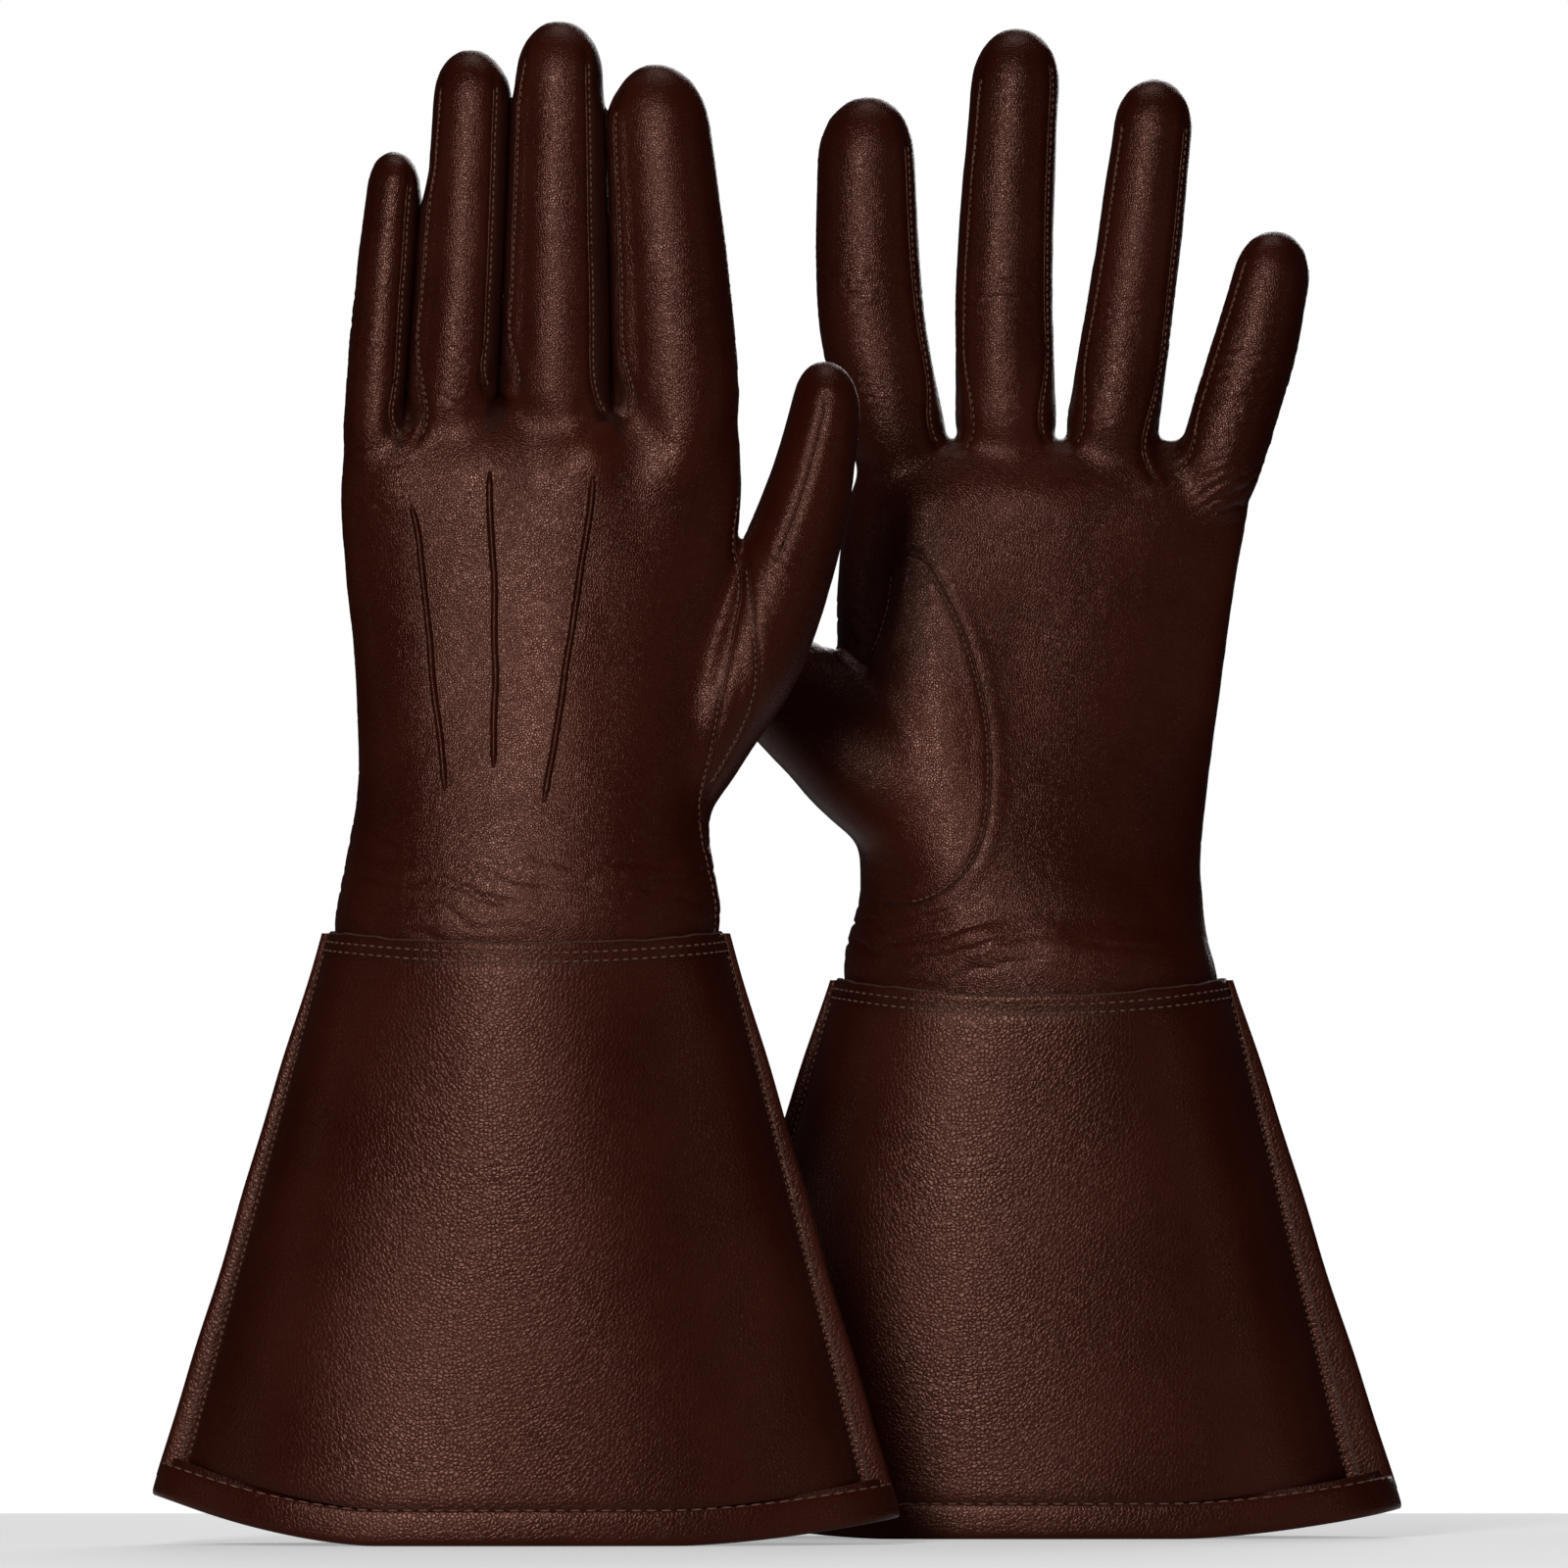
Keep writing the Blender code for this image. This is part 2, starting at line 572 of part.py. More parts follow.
def build_glove(glove, turn, centre, leather, cuff_leather, edge, lining):
    """One glove, with an empty for its frame and one on the axis of each bend."""
    prefix = glove["name"]
    root = bpy.data.objects.new(prefix + "_glove", None)
    root.location = centre
    bpy.context.scene.collection.objects.link(root)
    limbs = {n: finger_limb(n, f) for n, f in glove["fingers"].items()}
    thumb = thumb_limb(glove)
    origin = Vector((0, 0, 0))
    wrist = Vector((0, 0, glove["wrist"]))

    def put(obj, name, material, at):
        finish_piece(obj, prefix + "_" + name, material, at, turn, root)

    materials = {"cuff_lining": lining, "thumb_side_strip": edge, "little_side_strip": edge}
    for name, obj in cuff_pieces(glove).items():
        put(obj, name, materials.get(name, cuff_leather), origin)
    put(wrist_bend(glove), "wrist_bend", leather, wrist)

    skin = hand_skin(glove, limbs, thumb)
    palm = copy_of(skin, "palm")
    thumb_base = combine(copy_of(skin, "thumb_base"), [thumb_cutters(glove, 0.0)], "INTERSECT")
    for place, name in enumerate(("little_fork", "middle_fork", "index_fork")):
        fork = combine(copy_of(skin, name), [fork_cutter(glove, limbs, place, 0.0)], "INTERSECT")
        put(fork, name, leather, wrist)
    side, height = 3 * CUTTER_REACH, 8 * CUTTER_REACH
    half = box("half", (-side, -side, 0.0), (side, -GAP / 2, height))
    combine(skin, [half], "INTERSECT")
    half = box("half", (-side, GAP / 2, 0.0), (side, side, height))
    combine(palm, [half], "INTERSECT")
    for panel in (skin, palm):
        cutters = [thumb_cutters(glove, GAP)]
        cutters += [fork_cutter(glove, limbs, place, GAP) for place in range(3)]
        combine(panel, cutters, "DIFFERENCE")
    put(skin, "back_panel", leather, wrist)
    put(palm, "palm_panel", leather, wrist)
    put(thumb_base, "thumb_base", leather, wrist)
    put(hand_lining(glove), "hand_lining", lining, wrist)
    for name, ends in zip(("little_point", "middle_point", "index_point"), glove["points"]):
        put(point_ridge(glove, ends), name, leather, wrist)

    for name, limb in limbs.items():
        bend = glove["fingers"][name][4]
        reach = bend_reach(FINGER_HALF_DEPTH[name], FINGER_BEND_DEG)
        limb_pieces(put, limb, name, bend, reach, leather)
    limb_pieces(put, thumb, "thumb", thumb_bend_distance(thumb, glove),
                bend_reach(THUMB_HALF_DEPTH, THUMB_BEND_DEG), leather)


def limb_pieces(put, limb, name, bend, reach, leather):
    """A finger's soft bend and, above it, its closed end."""
    pivot, _ = limb.at(bend)
    outer = [limb.ring(bend + s * (reach - GAP)) for s in (-1, 1)]
    inner = [limb.ring(bend + s * (reach - GAP), HAND_LEATHER) for s in (-1, 1)]
    put(wall_loft("bend", outer, inner, "tube"), name + "_bend", leather, pivot)
    outer = limb.rings(bend + reach)
    inner = limb.rings(bend + reach, HAND_LEATHER)
    end_name = "thumb_end" if name == "thumb" else name + "_finger"
    put(wall_loft("end", outer, inner, "cup"), end_name, leather, pivot)


def main():
    clear_scene()
    leather = make_material("hand_leather", OXBLOOD, 0.42)
    cuff_leather = make_material("cuff_leather", CUFF_BROWN, 0.50)
    edge = make_material("folded_strip", RAW_EDGE, 0.70)
    lining = make_material("lining", LINING_TAN, 0.85)
    looks = (leather, cuff_leather, edge, lining)
    build_glove(FRONT_GLOVE, Matrix.Identity(3),
                Vector((-PAIR_HALF_SPACING_X, -PAIR_HALF_SPACING_Y, 0)), *looks)
    build_glove(REAR_GLOVE, Matrix.Rotation(math.pi, 3, "Z"),
                Vector((PAIR_HALF_SPACING_X, PAIR_HALF_SPACING_Y, 0)), *looks)


main()
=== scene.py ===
# %% [markdown]
# # A pair of gauntlet riding gloves
# A gauntlet glove is a thin, close hand of soft leather with a wide, firm cuff sewn over its
# wrist. The hand is cut as a back and a palm, with a fork (a narrow strip) down each side of
# every gap between the fingers, and the thumb is set in. Three raised points are sewn on the
# back. This lesson makes the leather in three steps: solids are lofted and melted into one
# skin, the skin is pressed and creased along its seams, and then it is cut into its pieces.

# %% Load the frame
import math
import bpy
import numpy as np
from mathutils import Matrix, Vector
from mathutils.bvhtree import BVHTree
from mathutils.kdtree import KDTree


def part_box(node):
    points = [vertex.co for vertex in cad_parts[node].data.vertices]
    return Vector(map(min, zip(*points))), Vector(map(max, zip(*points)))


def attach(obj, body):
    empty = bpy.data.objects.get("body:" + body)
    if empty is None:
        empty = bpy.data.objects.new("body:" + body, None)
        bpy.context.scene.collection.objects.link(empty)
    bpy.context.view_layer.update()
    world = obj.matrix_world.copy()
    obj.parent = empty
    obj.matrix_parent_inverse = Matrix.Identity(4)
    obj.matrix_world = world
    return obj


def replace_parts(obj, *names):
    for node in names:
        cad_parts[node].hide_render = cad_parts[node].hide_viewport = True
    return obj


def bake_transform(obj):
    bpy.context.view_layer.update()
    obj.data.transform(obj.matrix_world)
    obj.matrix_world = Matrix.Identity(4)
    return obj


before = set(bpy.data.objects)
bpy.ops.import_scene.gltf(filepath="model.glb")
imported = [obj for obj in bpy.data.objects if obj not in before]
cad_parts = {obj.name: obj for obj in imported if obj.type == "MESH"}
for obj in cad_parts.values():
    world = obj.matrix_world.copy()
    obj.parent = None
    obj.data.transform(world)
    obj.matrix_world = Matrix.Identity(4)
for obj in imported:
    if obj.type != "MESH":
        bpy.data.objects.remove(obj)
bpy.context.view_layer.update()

# %% [markdown]
# ## Shader arithmetic
# A finish is easier to read as a sum than as a web of nodes. `Wire` wraps one output socket,
# and each operator adds the Math node that does it. `Finish` holds one material and has a
# single method for every other node: its type, its settings, and its sockets.

# %% Wires and finishes
class Wire:
    """An output socket that can be added, subtracted and multiplied like a number."""

    def __init__(self, tree, socket):
        self.tree = tree
        self.socket = socket

    def maths(self, operation, first, second):
        node = self.tree.nodes.new("ShaderNodeMath")
        node.operation = operation
        for slot, value in zip(node.inputs, (first, second)):
            plug(self.tree, slot, value)
        return Wire(self.tree, node.outputs[0])

    def __add__(self, other):
        return self.maths("ADD", self, other)

    def __sub__(self, other):
        return self.maths("SUBTRACT", self, other)

    def __rsub__(self, other):
        return self.maths("SUBTRACT", other, self)

    def __mul__(self, other):
        return self.maths("MULTIPLY", self, other)

    __radd__ = __add__
    __rmul__ = __mul__


def plug(tree, slot, value):
    """Links a wire to an input socket, or sets the socket to a plain value."""
    if isinstance(value, Wire):
        tree.links.new(value.socket, slot)
    else:
        slot.default_value = value


class Finish:
    """One material and its node tree."""

    def __init__(self, name, **shader):
        self.material = bpy.data.materials.new(name)
        self.material.use_nodes = True
        self.tree = self.material.node_tree
        self.shader = self.tree.nodes["Principled BSDF"]
        self.set(**shader)

    def set(self, **shader):
        for key, value in shader.items():
            plug(self.tree, self.shader.inputs[key.replace("_", " ")], value)

    def node(self, kind, settings, sockets, output=0):
        made = self.tree.nodes.new(kind)
        for key, value in settings.items():
            if key == "stops":
                set_stops(made.color_ramp, value)
            else:
                setattr(made, key, value)
        for key, value in sockets.items():
            plug(self.tree, made.inputs[key], value)
        return Wire(self.tree, made.outputs[output])

    def mix(self, share, first, second):
        return self.node("ShaderNodeMix", {"data_type": "RGBA"}, {0: share, 6: first, 7: second}, 2)


def set_stops(ramp, stops):
    """Gives a colour ramp one element for each (place, grey) pair."""
    while len(ramp.elements) > 1:
        ramp.elements.remove(ramp.elements[-1])
    for place, grey in stops:
        element = ramp.elements[0] if place == stops[0][0] else ramp.elements.new(place)
        element.position = place
        element.color = (grey, grey, grey, 1.0)


print("shader helpers ready")

# %% [markdown]
# ## Leather
# Glove leather has a fine net of pores, and cuff leather a coarser pebble. Both are Voronoi
# cells whose edges sink: the distance to the nearest cell edge, squeezed by a ramp, drives a
# Bump node. A slower noise shifts the colour and the gloss. A stored `seam` field darkens the
# leather along each seam, and it also holds painted shade on the finger flanks in the forks and
# inside the crotches. A stored rise makes raised places paler: partly wear, partly a painted
# highlight on the knuckles and other rises.

# %% Leather finishes
MM = 0.001
OXBLOOD = (0.032, 0.0036, 0.0011, 1.0)
# A paler oxblood, for random changes of tone, for wear and for the painted highlight on the knuckles and
# other rises.
OXBLOOD_PALER = (0.058, 0.0098, 0.0046, 1.0)
OXBLOOD_DEEP = (0.008, 0.0008, 0.0005, 1.0)


def leather(name, cell, depth, gloss, base, paler):
    """A grained leather: cell is the width of its pebbles, depth how far their edges sink."""
    finish = Finish(name, Specular_IOR_Level=0.40, Specular_Tint=(1.0, 0.52, 0.40, 1.0))
    place = finish.node("ShaderNodeTexCoord", {}, {}, "Object")
    drift = finish.node("ShaderNodeTexNoise", {}, {"Vector": place, "Scale": 0.35 / (cell * MM),
                                                   "Detail": 2.0, "Roughness": 0.5}, "Color")
    nudge = finish.node("ShaderNodeVectorMath", {"operation": "MULTIPLY_ADD"},
                        {0: drift, 1: (cell * MM * 0.9,) * 3, 2: place})
    edge = finish.node("ShaderNodeTexVoronoi", {"feature": "DISTANCE_TO_EDGE"},
                       {"Vector": nudge, "Scale": 1 / (cell * MM), "Randomness": 0.92})
    pebble = finish.node("ShaderNodeValToRGB",
                         {"stops": ((0.0, 0.0), (0.10, 0.45), (0.28, 0.9), (0.6, 1.0))}, {0: edge})
    slow = finish.node("ShaderNodeTexNoise", {}, {"Vector": place, "Scale": 26.0, "Detail": 5.0,
                                                  "Roughness": 0.6})
    cloud = finish.node("ShaderNodeTexNoise", {}, {"Vector": place, "Scale": 420.0, "Detail": 3.0,
                                                   "Roughness": 0.55})
    seam = finish.node("ShaderNodeAttribute", {"attribute_name": "seam"}, {}, "Fac")
    wear = finish.node("ShaderNodeAttribute", {"attribute_name": "wear"}, {}, "Fac")
    shift = finish.node("ShaderNodeMapRange", {}, {0: slow, 1: 0.38, 2: 0.68, 3: 0.0, 4: 0.55})
    # The rise field makes raised places paler: partly wear, partly a painted highlight on the knuckles and
    # other rises.
    tone = finish.mix(shift + wear * 0.6, base, paler)
    # The seam field darkens the leather along each seam, and adds painted shade on the finger flanks in the
    # forks and inside the crotches.
    dark = finish.mix((1 - pebble) * 0.3 + seam * 0.7, tone, OXBLOOD_DEEP)
    rough = gloss + (slow - 0.5) * 0.2 + (1 - pebble) * 0.08 + seam * 0.15 - wear * 0.04
    height = pebble * 0.8 + cloud * 0.35
    bump = finish.node("ShaderNodeBump", {}, {"Height": height, "Distance": depth * MM,
                                              "Strength": 0.75}, "Normal")
    finish.set(Base_Color=dark, Roughness=rough, Normal=bump)
    return finish.material


HAND_LEATHER = leather("hand_leather", 0.62, 0.07, 0.25, OXBLOOD, OXBLOOD_PALER)
CUFF_LEATHER = leather("cuff_leather", 1.05, 0.085, 0.28, OXBLOOD, OXBLOOD_PALER)
print("leathers", HAND_LEATHER.name, CUFF_LEATHER.name)

# %% [markdown]
# The thread is a waxed cotton a little lighter than the leather, twisted in a fine rope. The
# cut edges of the cuff show the leather's undyed middle: a matt, fibrous, greyish brown. The
# lining is a plain knit.

# %% Thread, cut edge and lining finishes
def thread_finish():
    finish = Finish("thread", Specular_IOR_Level=0.35)
    place = finish.node("ShaderNodeTexCoord", {}, {}, "Object")
    twist = finish.node("ShaderNodeTexWave", {"bands_direction": "DIAGONAL"},
                        {"Vector": place, "Scale": 900.0, "Distortion": 1.0})
    finish.set(Base_Color=finish.mix(twist, (0.085, 0.034, 0.023, 1), (0.215, 0.105, 0.070, 1)),
               Roughness=0.55 + twist * 0.2,
               Normal=finish.node("ShaderNodeBump", {}, {"Height": twist, "Distance": 0.05 * MM,
                                                         "Strength": 0.6}, "Normal"))
    return finish.material


def cut_edge_finish():
    finish = Finish("cut_edge", Specular_IOR_Level=0.25)
    place = finish.node("ShaderNodeTexCoord", {}, {}, "Object")
    fibre = finish.node("ShaderNodeTexNoise", {}, {"Vector": place, "Scale": 1500.0, "Detail": 4.0})
    patch = finish.node("ShaderNodeTexNoise", {}, {"Vector": place, "Scale": 120.0, "Detail": 2.0})
    light = finish.mix(patch, (0.052, 0.023, 0.017, 1), (0.105, 0.058, 0.043, 1))
    finish.set(Base_Color=finish.mix(fibre * 0.6, light, (0.040, 0.014, 0.010, 1)),
               Roughness=0.72 + fibre * 0.2,
               Normal=finish.node("ShaderNodeBump", {}, {"Height": fibre, "Distance": 0.15 * MM,
                                                         "Strength": 0.7}, "Normal"))
    return finish.material


def lining_finish():
    finish = Finish("knit_lining", Specular_IOR_Level=0.2)
    place = finish.node("ShaderNodeTexCoord", {}, {}, "Object")
    rows = finish.node("ShaderNodeTexWave", {"bands_direction": "Z"},
                       {"Vector": place, "Scale": 260.0, "Distortion": 2.0})
    loops = finish.node("ShaderNodeTexWave", {"bands_direction": "X"},
                        {"Vector": place, "Scale": 230.0, "Distortion": 2.0})
    knit = rows * loops
    finish.set(Base_Color=finish.mix(knit, (0.075, 0.040, 0.028, 1), (0.17, 0.10, 0.07, 1)),
               Roughness=0.85 + knit * 0.1,
               Normal=finish.node("ShaderNodeBump", {}, {"Height": knit, "Distance": 0.3 * MM,
                                                         "Strength": 0.8}, "Normal"))
    return finish.material


THREAD = thread_finish()
CUT_EDGE = cut_edge_finish()
LINING = lining_finish()
print("small finishes", THREAD.name, CUT_EDGE.name, LINING.name)

# %% [markdown]
# ## Sizes of the two gloves
# Each glove is measured in its own frame, in millimetres: X across the hand with the thumb at
# +X, the back of the hand at -Y, and Z up from the hem. The front glove keeps that frame and
# the rear glove is turned half a turn, which is why one shows its back and one its palm. The
# middle of each glove comes from its hem in the frame.

# %% Glove measurements
# hand sections: height, little side, thumb side, depth of the back, depth of the palm
# a finger: centre line from base to tip, then its half widths at base, middle and tip
FRONT = {
    "name": "front", "turn": 1,
    "cuff_top": 151.0, "top_sag": 2.6, "wrist": 176.0, "hem_rise": (12.0, 6.5),
    "hand": [
        (138, -45.6, 46.0, 26.8, 26.8), (151, -47.0, 47.6, 27.3, 27.3),
        (158, -46.2, 48.0, 26.8, 26.8), (165, -44.7, 46.8, 25.6, 25.6),
        (176, -42.8, 45.2, 23.4, 24.0), (188, -41.4, 45.6, 20.8, 22.4),
        (212, -42.1, 48.6, 17.0, 19.0), (237, -44.4, 51.4, 14.9, 17.0),
        (258, -45.7, 53.2, 13.8, 14.6), (268, -45.4, 53.5, 12.2, 12.6),
        (274, -43.5, 53.2, 10.2, 10.4), (279, -37.0, 50.0, 7.0, 7.0), (282, -30.0, 38.0, 4.0, 4.0),
    ],
    "fingers": {
        "little": ([(-37.9, 0.6, 274), (-35.4, 0, 306), (-31.8, 1.2, 343.6)], (7.5, 7.1, 6.0), 8.4),
        "ring": ([(-18.0, 0, 279), (-15.3, -0.6, 322), (-12.9, 1, 368.6)], (10.6, 10.0, 9.2), 9.6),
        "middle": ([(7.4, 0, 281), (8.0, -0.8, 328), (8.4, 1, 375.6)], (12.8, 11.7, 10.6), 10.2),
        "index": ([(38.3, 0, 279), (35.5, -0.6, 322), (31.4, 1, 365.0)], (15.0, 13.5, 11.7), 10.2),
    },
    "crotches": [(-29.6, 275.5), (-6.4, 285.5), (22.2, 281.5)],
    "bends": {"little": 24, "ring": 29, "middle": 31, "index": 29},
    "thumb": [(22, 3, 170), (35.4, 3, 186.6), (44.3, 3.6, 203), (53.0, 4.2, 217), (59.2, 5, 230),
              (65.6, 6, 246), (70.4, 7, 262), (73.9, 7.8, 279), (76.2, 8.2, 291.6)],
    "thumb_half": (7.0, 11.6, 13.8, 14.3, 13.6, 12.0, 10.6, 9.3, 8.6),
    "thumb_depth": (9.0, 12.5, 14.0, 14.0, 13.0, 11.6, 10.6, 9.9, 9.4),
    "thumb_bend": (67.6, 6.6, 256),
    "points": [[(-31.8, 259.5), (-28.6, 232), (-22.4, 186)], [(-9.2, 270), (-9.4, 230), (-9.2, 191)],
               [(19.0, 265), (12.6, 228), (4.2, 182.5)]],
}
REAR = {
    "name": "rear", "turn": -1,
    "cuff_top": 139.0, "top_sag": 4.0, "wrist": 159.0, "hem_rise": (7.0, 7.0),
    "hand": [
        (126, -45.6, 45.6, 26.8, 26.8), (139, -46.2, 46.6, 27.2, 27.2),
        (146, -44.4, 46.2, 26.6, 26.6), (152, -43.0, 44.4, 25.2, 25.2),
        (160, -42.3, 42.8, 23.4, 24.0), (170, -42.0, 43.2, 21.4, 22.4),
        (188, -44.3, 44.6, 18.6, 20.0), (212, -47.6, 47.8, 16.4, 17.6),
        (237, -50.8, 48.4, 14.6, 16.4), (252, -53.4, 46.8, 13.6, 14.8),
        (262, -54.6, 44.8, 12.2, 12.6), (269, -50.0, 40.0, 9.0, 9.2), (273, -42.0, 33.0, 5.0, 5.0),
    ],
    "fingers": {
        "little": ([(-46.6, 0.6, 266), (-56.4, 0, 300), (-62.4, -1.5, 325)], (10.8, 10.4, 8.6), 8.6),
        "ring": ([(-20.0, 0, 275), (-26.2, 0.4, 318), (-31.6, -1, 363)], (11.6, 10.6, 9.6), 9.6),
        "middle": ([(6.4, 0, 276), (6.6, 0.6, 318), (3.2, -1, 375.6)], (12.6, 12.0, 10.8), 10.2),
        "index": ([(33.2, 0, 272), (40.0, 0.6, 306), (41.4, -1, 358.6)], (12.4, 13.2, 11.9), 10.2),
    },
    "crotches": [(-32.6, 267.0), (-6.8, 277.0), (20.4, 275.5)],
    "bends": {"little": 24, "ring": 29, "middle": 33, "index": 35},
    "thumb": [(14, 4, 164), (26, 4, 178), (38, 6, 191), (50, 7, 203), (66.5, 8.4, 215),
              (79, 10, 226.5), (88.5, 11, 235)],
    "thumb_half": (8.0, 14.5, 18.0, 17.4, 13.2, 11.4, 10.4),
    "thumb_depth": (12.0, 15.0, 15.5, 14.5, 12.0, 10.8, 10.0),
    "thumb_bend": (66.5, 8.4, 215),
    "points": [[(-36.5, 251), (-31.5, 222), (-22.4, 175)], [(-9.6, 261), (-9.6, 220), (-9.0, 180)],
               [(18.6, 257), (12.4, 220), (4.8, 173)]],
}
FINGER_DEPTHS = (1.16, 1.02, 0.95)
for glove in (FRONT, REAR):
    low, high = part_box(glove["name"] + "_cuff_hem")
    glove["centre"] = np.array([(low[0] + high[0]) / 2, (low[1] + high[1]) / 2, 0.0])
    glove["half_width"] = (high[0] - low[0]) / 2 / MM
    glove["half_depth"] = (high[1] - low[1]) / 2 / MM
    print(glove["name"], "middle", glove["centre"].round(4), "hem", round(glove["half_width"], 1))


def to_world(glove, points):
    """Glove millimetres to world metres."""
    turned = np.asarray(points, float) * (glove["turn"], glove["turn"], 1.0)
    return turned * MM + glove["centre"]


# %% [markdown]
# ## Curves and lofts
# A Catmull-Rom curve passes through a few chosen stations and stays smooth between them, so a
# whole finger needs only three. Each section is a superellipse: an exponent a little over two
# makes it fuller than an ellipse, as leather stretched over a hand is.

# %% Smooth curves and rings
def smooth_curve(stations, step):
    """Points about a step apart on a Catmull-Rom curve through rows of numbers."""
    rows = np.asarray(stations, float)
    rows = np.vstack([2 * rows[0] - rows[1], rows, 2 * rows[-1] - rows[-2]])
    found = []
    for a, b, c, d in zip(rows, rows[1:], rows[2:], rows[3:]):
        count = max(2, int(np.linalg.norm((c - b)[:3]) / step))
        t = np.linspace(0, 1, count, endpoint=False)[:, None]
        found.append(0.5 * (2 * b + (c - a) * t + (2 * a - 5 * b + 4 * c - d) * t ** 2
                            + (3 * b - a - 3 * c + d) * t ** 3))
    return np.vstack(found + [rows[-2][None]])


def unit_ring(count, power):
    """A superellipse of radius one, anticlockwise."""
    angle = np.arange(count) * 2 * np.pi / count
    c, s = np.cos(angle), np.sin(angle)
    return np.stack([np.sign(c) * np.abs(c) ** (2 / power),
                     np.sign(s) * np.abs(s) ** (2 / power)], axis=1)


def loft_faces(levels, count, first=0):
    """Quads between rings, and a polygon over each end."""
    faces = [tuple(first + i for i in reversed(range(count)))]
    for level in range(levels - 1):
        a = first + level * count
        faces += [(a + i, a + (i + 1) % count, a + count + (i + 1) % count, a + count + i)
                  for i in range(count)]
    last = first + (levels - 1) * count
    return faces + [tuple(last + i for i in range(count))]


ROOT_TAPER = 0.025


class Limb:
    """A finger or a thumb as a centre line with half widths and half depths along it."""

    def __init__(self, name, line, halves, depths, fold):
        rows = [tuple(p) + (h, d) for p, h, d in zip(line, halves, depths)]
        curve = smooth_curve(rows, 1.5)
        self.name, self.centres = name, curve[:, :3]
        self.halves, self.depths = curve[:, 3], curve[:, 4]
        steps = np.linalg.norm(np.diff(self.centres, axis=0), axis=1)
        self.stops = np.concatenate([[0.0], np.cumsum(steps)])
        self.length = self.stops[-1]
        chord = self.centres[-1] - self.centres[0]
        self.along = chord / np.linalg.norm(chord)
        fold = np.array(fold, float)
        fold -= self.along * fold.dot(self.along)
        self.fold = fold / np.linalg.norm(fold)
        self.side = np.cross(self.fold, self.along)

    def at(self, s):
        centre = np.stack([np.interp(s, self.stops, self.centres[:, k]) for k in range(3)], -1)
        past = np.minimum(np.asarray(s, float), 0.0)[..., None]
        return centre + self.along * past, np.interp(s, self.stops, self.halves)

    def depth(self, s):
        return np.interp(s, self.stops, self.depths)

    def ring(self, s, size, unit):
        centre, half = self.at(s)
        return (centre + unit[:, :1] * self.side * half * size
                + unit[:, 1:] * self.fold * self.depth(s) * size)

    def loft(self, start):
        """Rings from start to the tip, which closes in a full round end."""
        unit = unit_ring(36, 2.05)
        dome = self.halves[-1] * 1.3
        stops = np.arange(start, self.length - dome, 2.5)
        rings = [self.ring(s, 1 + min(0.0, s) * ROOT_TAPER, unit) for s in stops]
        for turn in np.linspace(0, 0.97, 11) * np.pi / 2:
            rings.append(self.ring(self.length - dome * (1 - math.sin(turn)),
                                   math.cos(turn) ** 0.95, unit))
        return np.vstack(rings), loft_faces(len(rings), len(unit))


def make_limbs(glove):
    limbs = [Limb(n, line, halves, [depth * share for share in FINGER_DEPTHS], (0, 1, 0))
             for n, (line, halves, depth) in glove["fingers"].items()]
    limbs.append(Limb("thumb", glove["thumb"], glove["thumb_half"], glove["thumb_depth"],
                      (-0.55, 0.835, 0)))
    return limbs


for glove in (FRONT, REAR):
    glove["limbs"] = make_limbs(glove)
    print(glove["name"], {limb.name: round(limb.length) for limb in glove["limbs"]})

# %% [markdown]
# ## Melting the hand into one skin
# The palm and the five limbs are separate closed lofts that sink into each other. A Remesh
# modifier in voxel mode reads them as one volume and returns a single even skin, which joins
# the fingers at soft crotches by itself. Subdivision would need a hand-made join at each
# crotch, and would not give the even net that the creases need later.

# %% The melted skin
VOXEL = 0.85
PALM_LEAN = 0.30        # the palm is thicker towards the thumb


def palm_lean(glove, unit, height):
    """How much deeper the palm is at each point of a ring than its middle."""
    share = min(1.0, max(0.0, (height - glove["cuff_top"] - 8) / 22))
    return 1 + PALM_LEAN * share * unit[:, 0]


def hand_loft(glove):
    rows = smooth_curve([(r[0],) + r for r in glove["hand"]], 3.0)[:, 1:]
    unit = unit_ring(72, 2.15)
    rings = []
    for z, low, high, back, palm in rows:
        deep = np.where(unit[:, 1] < 0, back, palm * palm_lean(glove, unit, z))
        x = (low + high) / 2 + unit[:, 0] * (high - low) / 2
        rings.append(np.stack([x, unit[:, 1] * deep, np.full(len(unit), z)], axis=1))
    return np.vstack(rings), loft_faces(len(rings), len(unit))


def new_mesh(name, vertices, faces):
    mesh = bpy.data.meshes.new(name)
    mesh.from_pydata(np.asarray(vertices).tolist(), [], faces)
    mesh.update()
    return mesh


def read_points(mesh, field="co"):
    source = mesh.vertices
    flat = np.empty(len(source) * 3)
    source.foreach_get(field, flat)
    return flat.reshape(-1, 3)


def read_quads(mesh):
    return [tuple(p.vertices) for p in mesh.polygons]


def relax(points, edges, times, share=0.5):
    """Moves each point towards the mean of its neighbours."""
    degree = np.bincount(edges.ravel(), minlength=len(points))[:, None]
    for _ in range(times):
        total = np.zeros_like(points)
        np.add.at(total, edges[:, 0], points[edges[:, 1]])
        np.add.at(total, edges[:, 1], points[edges[:, 0]])
        points = points + share * (total / degree - points)
    return points


